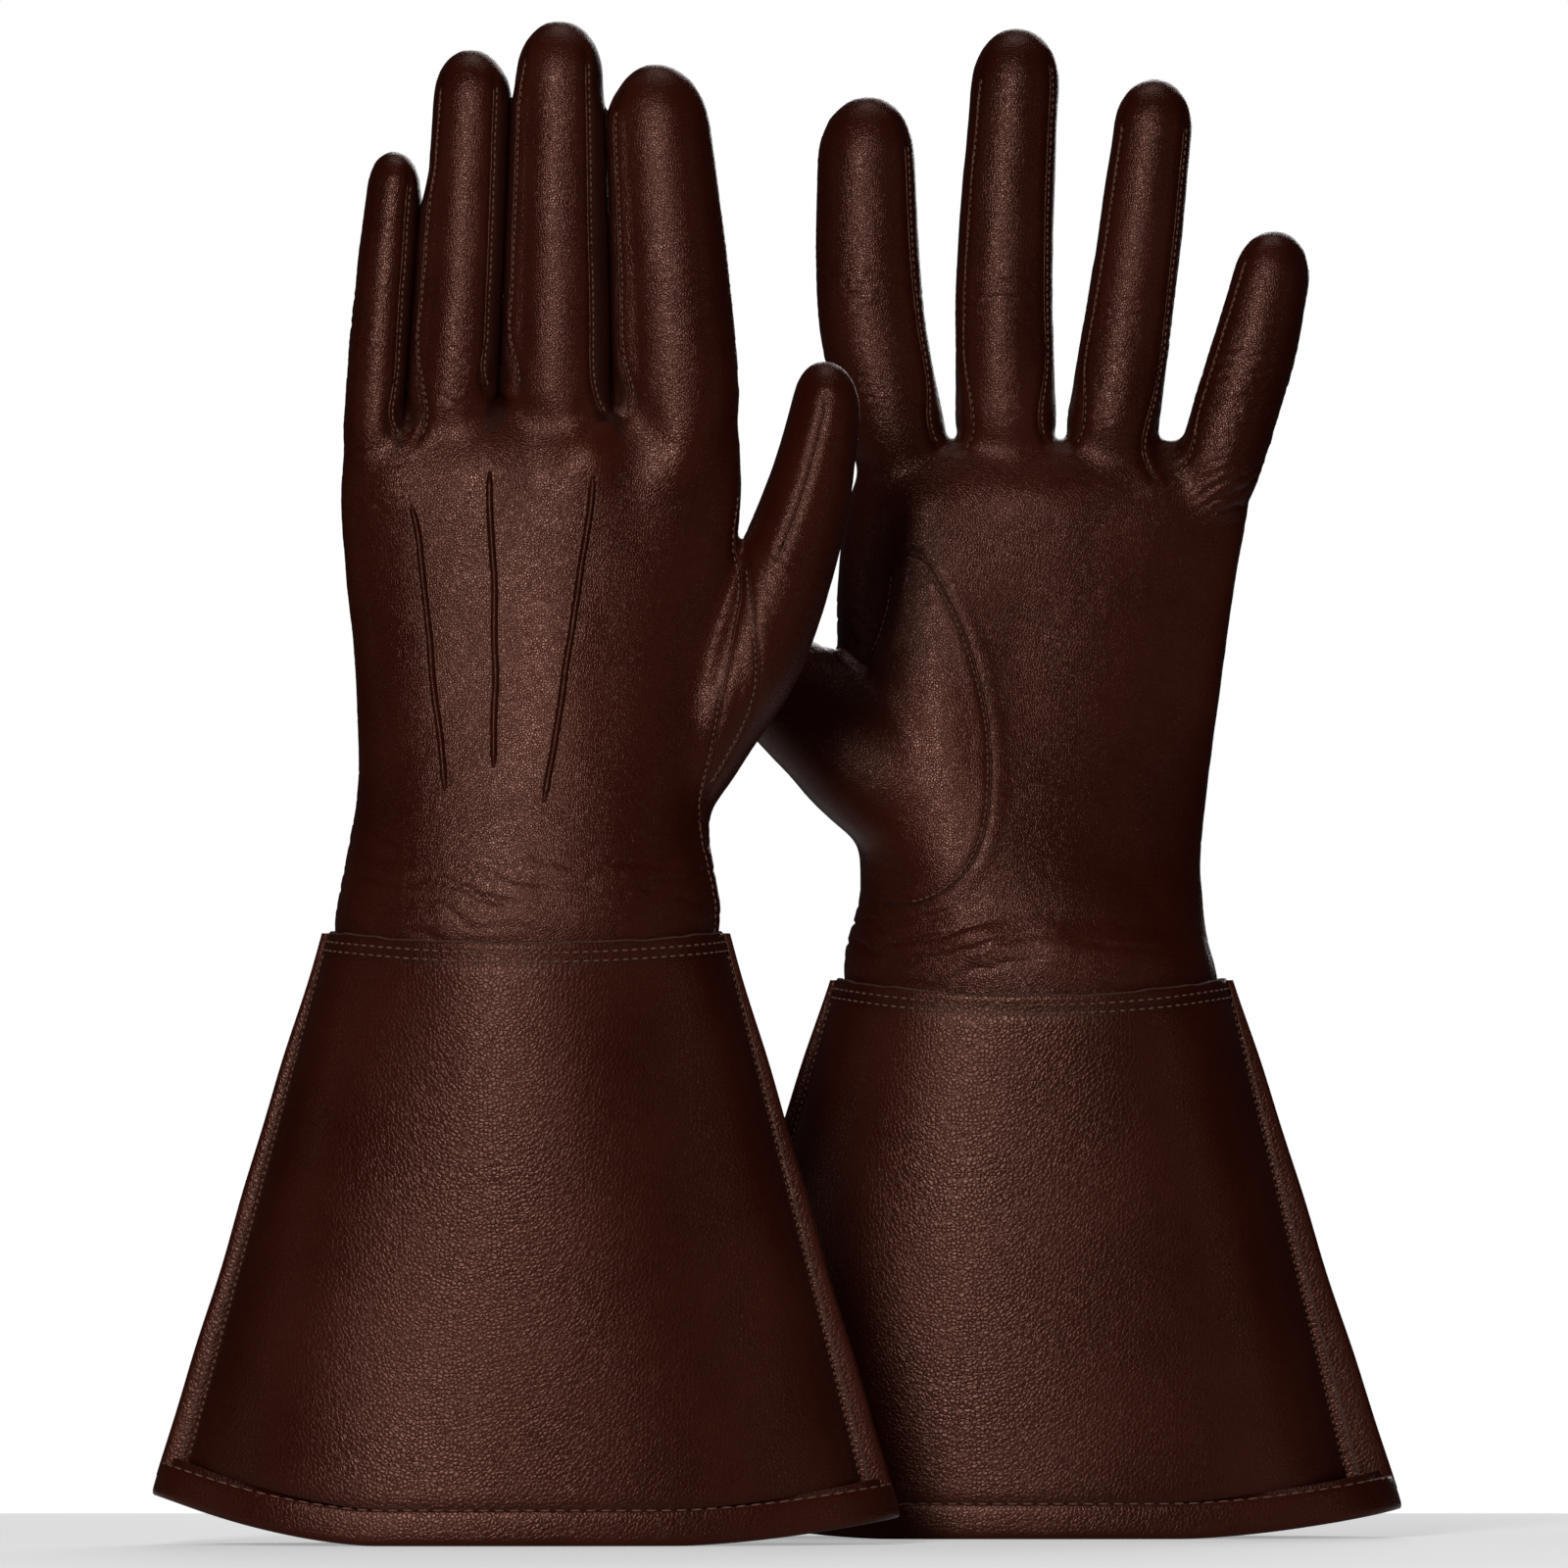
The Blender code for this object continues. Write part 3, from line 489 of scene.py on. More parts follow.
def melt(glove):
    """One even skin over the hand and its five limbs."""
    vertices, faces = hand_loft(glove)
    for limb in glove["limbs"]:
        start = 0.0 if limb.name == "thumb" else -12.0
        more, quads = limb.loft(start)
        faces += [tuple(len(vertices) + i for i in q) for q in quads]
        vertices = np.vstack([vertices, more])
    obj = bpy.data.objects.new("solids", new_mesh("solids", vertices, faces))
    bpy.context.scene.collection.objects.link(obj)
    modifier = obj.modifiers.new("melt", "REMESH")
    modifier.mode = "VOXEL"
    modifier.voxel_size = VOXEL
    graph = bpy.context.evaluated_depsgraph_get()
    mesh = bpy.data.meshes.new_from_object(obj.evaluated_get(graph))
    bpy.data.objects.remove(obj)
    points = read_points(mesh)
    edges = np.array([tuple(e.vertices) for e in mesh.edges])
    points = relax(points, edges, 10)
    mesh.vertices.foreach_set("co", points.ravel())
    mesh.update()
    return mesh


for glove in (FRONT, REAR):
    glove["skin"] = melt(glove)
    print(glove["name"], "skin", len(glove["skin"].vertices), "points")

# %% [markdown]
# ## Where each point of the skin belongs
# Every later step asks the same question of a point: which finger is it on, how far along,
# and on which side. `locate` answers it for all points at once, by measuring them against the
# centre line of each limb.

# %% Finding the limb under a point
def locate(glove, points):
    """Limb number (-1 on the hand), distance along it, side and fold coordinates."""
    best = np.full(len(points), 9.0)
    limb_of = np.full(len(points), -1)
    along, side, fold = np.zeros(len(points)), np.zeros(len(points)), np.zeros(len(points))
    for number, limb in enumerate(glove["limbs"]):
        flat = points - limb.centres[0]
        s = flat @ limb.along
        for _ in range(2):
            centre, half = limb.at(s)
            s = s + (points - centre) @ limb.along
        centre, half = limb.at(s)
        off = points - centre
        across, deep = off @ limb.side, off @ limb.fold
        size = np.sqrt((across / half) ** 2 + (deep / limb.depth(s)) ** 2)
        floor = -5.0 if limb.name != "thumb" else bend_stop(glove, limb) - 16
        near = (s > floor) & (size < best) & (size < 1.35)
        best[near], limb_of[near] = size[near], number
        along[near], side[near], fold[near] = s[near], across[near] / half[near], deep[near]
    return limb_of, along, side, fold


def bend_stop(glove, limb):
    """How far along a limb its bend is."""
    if limb.name == "thumb":
        return float((np.array(glove["thumb_bend"]) - limb.centres[0]) @ limb.along)
    return float(glove["bends"][limb.name])


for glove in (FRONT, REAR):
    limb_of = locate(glove, read_points(glove["skin"]))[0]
    print(glove["name"], "points on the hand and on each limb", np.bincount(limb_of + 1))

# %% [markdown]
# ## Settling the skin
# The front glove's fingers lie side by side, so that each fork is pressed flat against the next
# finger's. They are melted a little apart, because a melt would weld them, and their flanks are
# pushed together afterwards, up to a leaning plane between them. The leather also runs from the
# hand into the fingers and the thumb without a step, so those places are smoothed.

# %% Flanks and roots
FLANK_GAP, FLANK_LEAN = 0.16, 0.11
FLANK_STARTS, FLANK_FULL = 0.66, 0.30
ROOT_BAND, ROOT_PASSES = 13.0, 60
CROTCH_KEPT = (6.5, 9.0)


def press_flanks(glove):
    """Flattens the flanks of fingers that touch."""
    mesh = glove["skin"]
    points = read_points(mesh)
    limb_of, _, side, _ = locate(glove, points)
    for place in range(3):
        left, right = glove["limbs"][place], glove["limbs"][place + 1]
        z = points[:, 2]
        l_edge = edge_at(left, z, 1)
        r_edge = edge_at(right, z, -1)
        middle = (l_edge + r_edge) / 2 + FLANK_LEAN * points[:, 1]
        tip = min(left.centres[-1][2], right.centres[-1][2])
        crotch = glove["crotches"][place][1]
        here = np.clip((tip - 5 - z) / 9, 0, 1) * np.clip((z - crotch + 4) / 2.5, 0, 1)
        for number, toward in ((place, 1), (place + 1, -1)):
            share = np.clip((side * toward - FLANK_STARTS) / FLANK_FULL, 0, 1)
            share = share * share * (3 - 2 * share) * here * (limb_of == number)
            goal = middle - toward * FLANK_GAP
            points[:, 0] += share * (goal - points[:, 0])
    mesh.vertices.foreach_set("co", points.ravel())
    mesh.update()


def edge_at(limb, heights, toward):
    """X of a limb's edge at these heights."""
    edge = limb.centres[:, 0] + toward * limb.halves
    return np.interp(heights, limb.centres[:, 2], edge)


def even_out(glove):
    """Softens the ridge where the hand runs into its fingers, away from the crotches."""
    mesh = glove["skin"]
    points = read_points(mesh)
    edges = np.array([tuple(e.vertices) for e in mesh.edges])
    band = np.exp(-((points[:, 2] - BASE_LINE[glove["name"]]) / ROOT_BAND) ** 2)
    wide, tall = CROTCH_KEPT
    for x, z in glove["crotches"]:
        across, up = (points[:, 0] - x) / wide, (points[:, 2] - z - 5) / tall
        band *= 1 - np.exp(-across ** 2 - up ** 2)
    for limb in glove["limbs"][:4]:
        for toward in (-1, 1):
            edge = edge_at(limb, points[:, 2], toward)
            near = np.exp(-((points[:, 0] - edge) / 2.5) ** 2)
            outer = (limb.name == "little" and toward < 0) or (limb.name == "index" and toward > 0)
            if not outer or glove is REAR:
                band *= 1 - near * (points[:, 2] > BASE_LINE[glove["name"]] + 4)
    smooth = points
    for _ in range(ROOT_PASSES):
        smooth = smooth + band[:, None] * (relax(smooth, edges, 1) - smooth)
    mesh.vertices.foreach_set("co", smooth.ravel())
    mesh.update()


def soften_place(glove, centre, reach, times):
    """Smooths the skin round one place, such as where the thumb leaves the hand."""
    mesh = glove["skin"]
    points = read_points(mesh)
    edges = np.array([tuple(e.vertices) for e in mesh.edges])
    share = np.exp(-np.sum(((points - centre) / reach) ** 2, axis=1))[:, None]
    for _ in range(times):
        points = points + share * (relax(points, edges, 1) - points)
    mesh.vertices.foreach_set("co", points.ravel())
    mesh.update()


BASE_LINE = {"front": 277.0, "rear": 268.0}
for glove in (FRONT, REAR):
    even_out(glove)
soften_place(REAR, (38, 14, 188), (16, 16, 26), 160)
soften_place(FRONT, (44, 0, 192), (12, 18, 22), 90)
press_flanks(FRONT)
print("settled", len(FRONT["skin"].vertices) + len(REAR["skin"].vertices), "points")

# %% [markdown]
# ## The moving parts
# A point belongs to a finger's own piece of leather from just before its bend, and below the
# wrist's bend it belongs to the cuff. `BLEND` is the length of skin that each bend is spread
# over: about one and a half times its radius for each radian that it turns.

# %% Bends and parts
BLEND = {"little": 18.5, "ring": 21.0, "middle": 22.5, "index": 22.5, "thumb": 15.5, "wrist": 24.0}
CUT_MARGIN = 1.6


def cut_stop(glove, limb):
    """Where a limb's own piece of leather starts, just before its bend."""
    return bend_stop(glove, limb) - BLEND[limb.name] / 2 - CUT_MARGIN


def part_of(glove, points):
    """The moving part each point is on: wrist, hand, or the name of a limb."""
    limb_of, along, _, _ = locate(glove, points)
    part = np.full(len(points), "hand", dtype=object)
    part[points[:, 2] < glove["wrist"] + BLEND["wrist"] / 2 + CUT_MARGIN] = "wrist"
    for number, limb in enumerate(glove["limbs"]):
        part[(limb_of == number) & (along > cut_stop(glove, limb))] = limb.name
    return part


for glove in (FRONT, REAR):
    names, counts = np.unique(part_of(glove, read_points(glove["skin"])), return_counts=True)
    print(glove["name"], dict(zip(names, counts)))

# %% [markdown]
# ## Putting a piece in the scene
# Each piece is a mesh at the origin, in world metres. A piece inside one body rides on it. A
# piece over a bend is left where it is; only its two bodies and the ends of its bend are
# looked up.

# %% Publishing pieces
def body(glove, name):
    return glove["name"] + "_" + name


def blend_ends(glove, part):
    """The two bodies of a bend, and the points where the turn starts and ends."""
    if part == "wrist":
        half = BLEND["wrist"] / 2
        low, high = (0, 0, glove["wrist"] - half), (0, 0, glove["wrist"] + half)
        return body(glove, "cuff"), body(glove, "hand"), low, high
    limb = next(l for l in glove["limbs"] if l.name == part)
    middle, half = bend_stop(glove, limb), BLEND[part] / 2
    centre, _ = limb.at(middle)
    return (body(glove, "hand"), body(glove, part), centre - limb.along * half,
            centre + limb.along * half)


def publish(glove, name, vertices, faces, materials, part, slot, normals=None, fields=None,
            slots_of=None):
    """Makes an object of a piece, and hangs it on its body if it lies inside one."""
    full = glove["name"] + "_" + name
    mesh = new_mesh(full, to_world(glove, vertices), faces)
    for material in materials:
        mesh.materials.append(material)
    if slots_of is not None:
        mesh.polygons.foreach_set("material_index", slots_of)
    for key in ("seam", "wear"):
        values = np.zeros(len(vertices)) if fields is None else fields[key]
        mesh.attributes.new(key, "FLOAT", "POINT").data.foreach_set("value", values)
    mesh.shade_smooth()
    if normals is not None:
        turned = normals * (glove["turn"], glove["turn"], 1.0)
        mesh.normals_split_custom_set_from_vertices(turned.tolist())
    obj = bpy.data.objects.new(full, mesh)
    bpy.context.scene.collection.objects.link(obj)
    if part in ("cuff", "hand"):
        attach(obj, body(glove, part))
    else:
        a, b, start, end = blend_ends(glove, part)
        tuple(to_world(glove, start))
        tuple(to_world(glove, end))
        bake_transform(obj)
    return obj


# %% [markdown]
# ## Seam lines
# A seam is a line on the skin. Each is drawn with a few guide points near the surface and
# then pulled onto it. The forks' seams run down one finger, round the crotch and up the next,
# once on the back and once on the palm. The thumb's seam loops round the ball of the palm.

# %% Drawing seams on the skin
LINE_STEP = 0.6


class Skin:
    """A skin's points, faces and search tree."""

    def __init__(self, mesh):
        self.mesh = mesh
        self.points = read_points(mesh)
        self.faces = read_quads(mesh)
        self.rebuild()

    def rebuild(self):
        self.tree = BVHTree.FromPolygons(self.points.tolist(), self.faces)

    def tree_without(self, hidden):
        """A search tree that leaves out the faces at hidden points."""
        kept = [f for f in self.faces if not hidden[f[0]]]
        return BVHTree.FromPolygons(self.points.tolist(), kept)

    def snap(self, guides, tree):
        """The nearest places on the skin, and the normals there."""
        hits = [tree.find_nearest(Vector(g)) for g in guides]
        return (np.array([h[0] for h in hits]), np.array([h[1] for h in hits]))

    def line(self, guides, step=LINE_STEP, tree=None):
        """A smooth line on the skin through the guide points, evenly spaced."""
        tree = tree or self.tree
        dense = smooth_curve(guides, step)
        for _ in range(3):
            dense, _ = self.snap(dense, tree)
            kernel = np.ones(9) / 9
            padded = np.pad(dense, ((4, 4), (0, 0)), mode="edge")
            dense = np.stack([np.convolve(padded[:, k], kernel, "valid") for k in range(3)], 1)
            dense = respace(dense, step)
        places, normals = self.snap(dense, tree)
        kernel = np.ones(7) / 7
        padded = np.pad(normals, ((3, 3), (0, 0)), mode="edge")
        normals = np.stack([np.convolve(padded[:, k], kernel, "valid") for k in range(3)], 1)
        return places, normals / np.linalg.norm(normals, axis=1, keepdims=True)


def respace(points, step):
    """The same line with its points evenly spaced."""
    lengths = np.concatenate([[0], np.cumsum(np.linalg.norm(np.diff(points, axis=0), axis=1))])
    keep = np.concatenate([[True], np.diff(lengths) > 1e-6])
    lengths, points = lengths[keep], points[keep]
    stops = np.linspace(0, lengths[-1], max(2, int(lengths[-1] / step)))
    return np.stack([np.interp(stops, lengths, points[:, k]) for k in range(3)], axis=1)


print("a line on the skin has a point each", LINE_STEP, "mm")

# %% [markdown]
# Each seam is now a short list of guide points. The forks' seams take theirs from the fingers,
# so they follow any change of a finger. On the front glove the seam on the little finger's side
# of a gap lies well in from the edge, so that the dark fork shows beside it.

# %% Where the seams run
FORK_SHARE = 0.62
# how far across a finger its fork's seam lies: on the side towards the thumb, and the other
FORK_AT = {"front": (0.72, 0.93), "rear": (0.90, 0.90)}
CROTCH_DROP, CROTCH_HALF = 3.2, 3.3


def fork_guides(glove, place, toward, face):
    """From the crotch up one finger's flank; face is -1 on the back and 1 on the palm."""
    limb = glove["limbs"][place if toward > 0 else place + 1]
    x, z = glove["crotches"][place]
    reach = FORK_AT[glove["name"]][0 if toward > 0 else 1]
    deep = face * (math.sqrt(1 - reach ** 2) + 0.2) * limb.depth(limb.length / 2)
    front = face * 13.0
    rows = [np.array([x, front, z - CROTCH_DROP]),
            np.array([x - toward * CROTCH_HALF * 0.75, front, z - CROTCH_DROP + 1.2]),
            np.array([x - toward * CROTCH_HALF, front, z - CROTCH_DROP + 4.0])]
    for share in (0.16, 0.27, 0.4, 0.55, 0.7, 0.82, 0.90):
        centre, half = limb.at(limb.length * share)
        rows.append(centre + limb.side * half * toward * reach + limb.fold * deep)
    centre, half = limb.at(limb.length * 0.955)
    return rows + [centre + limb.side * half * toward * 0.66 + limb.fold * deep * 0.8]


def fork_line(glove, place, toward, face):
    """A fork's seam, kept off the neighbouring finger."""
    skin = glove["surface"]
    other = place + 1 if toward > 0 else place
    tree = skin.tree_without((skin.limb_of == other) & (skin.along > 5))
    return skin.line(fork_guides(glove, place, toward, face), tree=tree)


def side_guides(glove, end):
    """The seam down the outer side of the hand; end 0 is the little finger's, 3 the index's."""
    limb, toward = glove["limbs"][end], -1 if end == 0 else 1
    rows = []
    for share in (0.96, 0.75, 0.5, 0.25, 0.05):
        centre, half = limb.at(limb.length * share)
        rows.append(centre + limb.side * half * toward)
    if end == 0:
        rows += [(r[1], 0.0, r[0]) for r in reversed(glove["hand"][1:-3])]
    return rows


def thumb_guides(glove):
    """The set-in thumb: the loop round the ball of the palm, the quirk, and the side seam."""
    if glove["name"] == "rear":
        loop = [(34, 14, 243), (31, 15, 246.5), (26.5, 16, 243), (17, 18, 226), (11.2, 20, 205),
                (10.4, 21, 186), (13, 22, 171), (20, 23, 161.5), (31, 22, 157), (40, 16, 158.5)]
        quirk = [(34, 14, 243), (35.2, 15, 231), (40, 16, 220), (43.0, 16, 217.5)]
        cross = [(43.0, 16, 217.5), (48, 12, 221.5), (52.5, 4, 224.5)]
        side = [(51.5, -4, 226), (50, -9, 212), (46, -11, 196), (43, -10, 180), (42.5, -6, 163),
                (45.5, -4, 148), (46, -4, 138)]
        return [loop, quirk, cross, side]
    loop = [(40, 14, 262), (36, 15, 266), (30, 16, 260), (21, 18, 240), (15, 20, 218),
            (14, 21, 200), (17, 22, 186), (25, 23, 177), (36, 22, 172.5), (45, 12, 174)]
    quirk = [(40, 14, 262), (41, 15, 250), (46, 14, 241)]
    side = [(52.6, -1, 262), (53.0, -4.0, 246), (51.6, -7.5, 231), (48.2, -9.5, 207),
            (45.2, -9, 182), (46.6, -7, 165), (47.6, -6, 151), (46, -6, 140)]
    root = [(54.6, -2.5, 244), (56.0, -5.4, 232), (56.4, -6.2, 212), (53.2, -7, 198),
            (47.2, -8.6, 183)]
    return [loop, quirk, side, root]


def thumb_tip_guides(glove):
    """The seam along the thumb from its crotch to its tip."""
    limb = glove["limbs"][4]
    rows = []
    for share in (0.60, 0.72, 0.84, 0.95):
        centre, half = limb.at(limb.length * share)
        rows.append(centre - limb.side * half * 0.55 - limb.fold * limb.depth(0) * 0.8)
    return rows


for glove in (FRONT, REAR):
    skin = glove["surface"] = Skin(glove["skin"])
    skin.limb_of, skin.along, _, _ = locate(glove, skin.points)
    glove["seams"] = []
    for place in range(3):
        for toward in (1, -1):
            for face in (-1, 1):
                glove["seams"].append(("fork", fork_line(glove, place, toward, face)))
    for end in (0, 3):
        glove["seams"].append(("side", skin.line(side_guides(glove, end))))
    for guides in thumb_guides(glove):
        glove["seams"].append(("thumb", skin.line(guides)))
    glove["seams"].append(("thumb", skin.line(thumb_tip_guides(glove))))
    print(glove["name"], "seams", len(glove["seams"]))

# %% [markdown]
# ## Pressing the skin
# Leather is never smooth. It dives at its seams, puffs between them, rises over the knuckles
# and creases where the hand bends. All of that is a shift of each point along its normal, so
# it is a sum of small terms: a groove by distance to the nearest seam, round mounds, and
# creases, which are ripples bent by noise and kept to one place by a soft mask.

# %% Noise, mounds and creases
def lattice_noise(points, scale, seed):
    """Smooth random values from -1 to 1, about one scale apart."""
    cell = np.floor(points / scale)
    part = points / scale - cell
    part = part * part * (3 - 2 * part)
    total = np.zeros(len(points))
    for corner in np.ndindex(2, 2, 2):
        key = (cell + corner) @ np.array([127.1, 311.7, 74.7]) + seed * 19.19
        value = np.modf(np.abs(np.sin(key) * 43758.5453))[0] * 2 - 1
        weight = np.prod(np.where(np.array(corner) == 1, part, 1 - part), axis=1)
        total += value * weight
    return total


def soft_mask(points, centre, reach):
    """One at the centre, fading to nothing over its reach in X, Y and Z."""
    return np.exp(-np.sum(((points - centre) / reach) ** 2, axis=1))


CREASE_GAIN = 1.9
# How dark the painted shade is on the finger flanks in the forks and inside the crotches.
FORK_PAINTED_SHADE = {"front": 0.85, "rear": 0.35}


def crease(points, centre, reach, wave, height, slope=0.0, seed=1):
    """Ripples across a place: wave is their spacing, slope how far they lean with X."""
    bent = points[:, 2] + slope * points[:, 0] + 3.0 * lattice_noise(points, 11.0, seed)
    bent = bent + 0.8 * lattice_noise(points, 3.5, seed + 5)
    broken = 0.55 + 0.45 * lattice_noise(points * (0.5, 1, 1), 6.0, seed + 9)
    ridge = 1 - 2 * np.abs(np.sin(np.pi * bent / wave)) ** 0.6
    return -CREASE_GAIN * height * np.maximum(ridge, -0.4) * broken * soft_mask(points, centre, reach)


print("creases are raised by", CREASE_GAIN)

# %% [markdown]
# The mounds are the knuckles, the ball of the thumb and the hollows between them, each as a
# place, a reach and a height. The creases lie over the joints and round the wrist, each as a
# place, a reach, a spacing, a height and a lean.

# %% Pressing mounds, creases and seams
MOUNDS = {
    "front": [((15, -13, 269), (7.5, 12, 8.5), 2.2), ((39, -13, 269), (8, 12, 8.5), 2.3),
              ((-13, -13, 266), (9, 12, 9), 0.7), ((-34, -12, 262), (8, 12, 9), 0.6),
              ((27, -13, 262), (6, 10, 14), -0.6), ((2, -13, 264), (6, 10, 14), -0.5),
              ((8, -17, 215), (13, 14, 34), 1.3), ((44, -12, 225), (13, 16, 32), -1.6),
              ((-40, -12, 225), (9, 14, 34), -0.7), ((30, 18, 205), (18, 12, 26), 2.4),
              ((-30, 17, 205), (14, 12, 30), 1.6), ((4, 18, 232), (22, 12, 20), -1.0)],
    "rear": [((-34, 12, 215), (20, 14, 40), -1.6), ((5, 16, 226), (18, 14, 26), -1.8),
             ((-3, 14, 258), (14, 10, 7), 0.7), ((-32, 12, 252), (10, 10, 8), 0.6),
             ((28, 14, 256), (11, 12, 9), 1.5), ((24, 20, 196), (13, 16, 24), 2.2),
             ((14, 24, 149), (9, 9, 5), 1.2), ((-6, 24, 148), (6, 9, 5), 0.7)],
}
CREASES = {
    "front": [((-15, -26, 158), (26, 30, 8), 6.6, 0.42, 0.16),
              ((24, -26, 163), (20, 30, 8), 5.8, 0.3, -0.12),
              ((-38, 0, 166), (10, 30, 12), 5.2, 0.5, 0.25), ((42, 0, 166), (9, 30, 14), 5.6, 0.4, -0.22),
              ((-41, -3, 300), (6, 9, 16), 2.6, 0.36, 0.1), ((2, -9, 345), (9, 8, 5), 2.8, 0.3, 0.05),
              ((36, -9, 312), (12, 8, 7), 2.6, 0.26, -0.1), ((-40, -8, 262), (10, 12, 12), 3.2, 0.34, -0.2),
              ((-18, -10, 287), (8, 8, 8), 2.8, 0.28, 0.2), ((60, -4, 240), (9, 10, 12), 4.4, 0.5, 0.7),
              ((0, 20, 168), (40, 20, 12), 5.6, 0.42, 0.05), ((0, 12, 300), (60, 12, 8), 2.8, 0.4, 0.0)],
    "rear": [((18, 26, 148), (20, 30, 7), 6.2, 0.62, 0.2), ((-24, 26, 146), (16, 30, 6), 6.2, 0.3, -0.14),
             ((41, 0, 150), (9, 30, 8), 5.0, 0.6, -0.3), ((0, -24, 152), (45, 18, 10), 5.6, 0.3, 0.0),
             ((38, 8, 309), (13, 10, 8), 3.0, 0.55, 0.02), ((38, 8, 286), (13, 10, 7), 2.6, 0.36, 0.05),
             ((6, 8, 308), (12, 10, 6), 3.0, 0.42, 0.0), ((7, 8, 280), (12, 10, 6), 2.4, 0.4, 0.0),
             ((-25, 8, 304), (12, 10, 9), 3.0, 0.42, -0.1), ((-21, 8, 280), (12, 10, 6), 2.4, 0.34, -0.1),
             ((-53, 8, 287), (12, 10, 11), 2.8, 0.42, 0.2), ((-48, 8, 262), (12, 14, 10), 3.0, 0.55, 0.5),
             ((46, 8, 226), (9, 12, 10), 3.6, 0.5, -0.7), ((0, -9, 300), (70, 8, 12), 2.8, 0.3, 0.0)],
}
GROOVE_DEPTH, GROOVE_REACH = 0.26, 0.6
PUFF_HEIGHT, PUFF_REACH, PUFF_WIDTH = 0.16, 2.3, 1.7
SLOW_SWELL, SLOW_SIZE = 0.16, 14.0
FINE_SWELL, FINE_SIZE = 0.07, 5.0
CUP_DEPTH = 0.8
FULL_WEAR_AND_HIGHLIGHT_AT = 1.6           # a rise this high gets the full wear and painted highlight


def seam_distance(glove, points):
    """How far each point is from the nearest seam."""
    lines = [places for _, (places, _) in glove["seams"]]
    samples = np.vstack(lines)
    tree = KDTree(len(samples))
    for i, place in enumerate(samples):
        tree.insert(place, i)
    tree.balance()
    return np.array([tree.find(p)[2] for p in points])


def crotch_cup(points, x, z):
    """How far points are from the middle of a crotch's cup, where one is its rim."""
    across = (points[:, 0] - x) / CROTCH_HALF
    up = (points[:, 2] - z + CROTCH_DROP - 5.5) / 5.5
    return np.sqrt(across ** 2 + up ** 2)


def press(glove):
    skin = glove["surface"]
    points, normals = skin.points, read_points(skin.mesh, "normal")
    gap = seam_distance(glove, points)
    shift = -GROOVE_DEPTH * np.exp(-(gap / GROOVE_REACH) ** 2)
    shift += PUFF_HEIGHT * np.exp(-((gap - PUFF_REACH) / PUFF_WIDTH) ** 2)
    shift += SLOW_SWELL * lattice_noise(points, SLOW_SIZE, 3)
    shift += FINE_SWELL * lattice_noise(points, FINE_SIZE, 4)
    for x, z in glove["crotches"]:
        cup = np.clip(1.3 - 1.3 * crotch_cup(points, x, z), 0, 1)
        shift -= CUP_DEPTH * cup * normals[:, 1] ** 4
    for centre, reach, height in MOUNDS[glove["name"]]:
        shift += height * soft_mask(points, centre, reach)
    for number, (centre, reach, wave, height, slope) in enumerate(CREASES[glove["name"]]):
        shift += crease(points, centre, reach, wave, height, slope, number + 2)
    skin.points = points + normals * shift[:, None]
    skin.mesh.vertices.foreach_set("co", skin.points.ravel())
    skin.mesh.update()
    skin.rebuild()
    skin.normals = read_points(skin.mesh, "normal")
    # Painted shade: the flanks that face each other across a fork are darkened, and so is the inside of
    # each crotch; this goes into the seam field with the darkening along the seam lines.
    limb_of, _, side, _ = locate(glove, points)
    toward, away = FORK_AT[glove["name"]]
    edge = np.where(side > 0, toward, away)
    fork = np.clip((np.abs(side) - edge) / 0.06, 0, 1) * (limb_of >= 0) * (limb_of < 4)
    fork[(limb_of == 0) & (side < 0)] = 0
    fork[(limb_of == 3) & (side > 0)] = 0
    for x, z in glove["crotches"]:
        fork = np.maximum(fork, np.clip(2.5 - 2.5 * crotch_cup(points, x, z), 0, 1))
    dark = np.maximum(0.8 * np.exp(-(gap / 0.55) ** 2), FORK_PAINTED_SHADE[glove["name"]] * fork)
    # The second field is each point's rise, which the leather shows paler: partly wear, partly a painted
    # highlight on the knuckles and other rises.
    skin.fields = {"seam": dark, "wear": np.clip(shift / FULL_WEAR_AND_HIGHLIGHT_AT, 0, 1)}


for glove in (FRONT, REAR):
    press(glove)
    print(glove["name"], "pressed by up to", round(float(glove["surface"].fields["wear"].max()), 2))

# %% [markdown]
# ## Cutting the skin into its pieces of leather
# The skin is one net, and a real glove is many pieces. Each face is given to the piece that
# its middle lies in: back, palm, thumb, a fork, or the end of a finger beyond its bend. All
# pieces keep the whole skin's normals, so no edge shows where one only ends for a bend.

# %% Cutting the skin
def inside_outline(points, outline):
    """True for points inside a closed outline in X and Z."""
    x, z = points[:, 0], points[:, 2]
    inside = np.zeros(len(points), bool)
    for (x0, z0), (x1, z1) in zip(outline, outline[1:] + outline[:1]):
        crosses = (z0 > z) != (z1 > z)
        span = (z1 - z0) if z1 != z0 else 1e-9
        inside ^= crosses & (x < (x1 - x0) * (z - z0) / span + x0)
    return inside


def thumb_outline(glove):
    loop = [(g[0], g[2]) for g in thumb_guides(glove)[0]]
    quirk = [(g[0], g[2]) for g in thumb_guides(glove)[1]]
    return loop[1:] + [(120, loop[-1][1]), (120, quirk[-1][1] + 8)] + quirk[::-1][:-1]


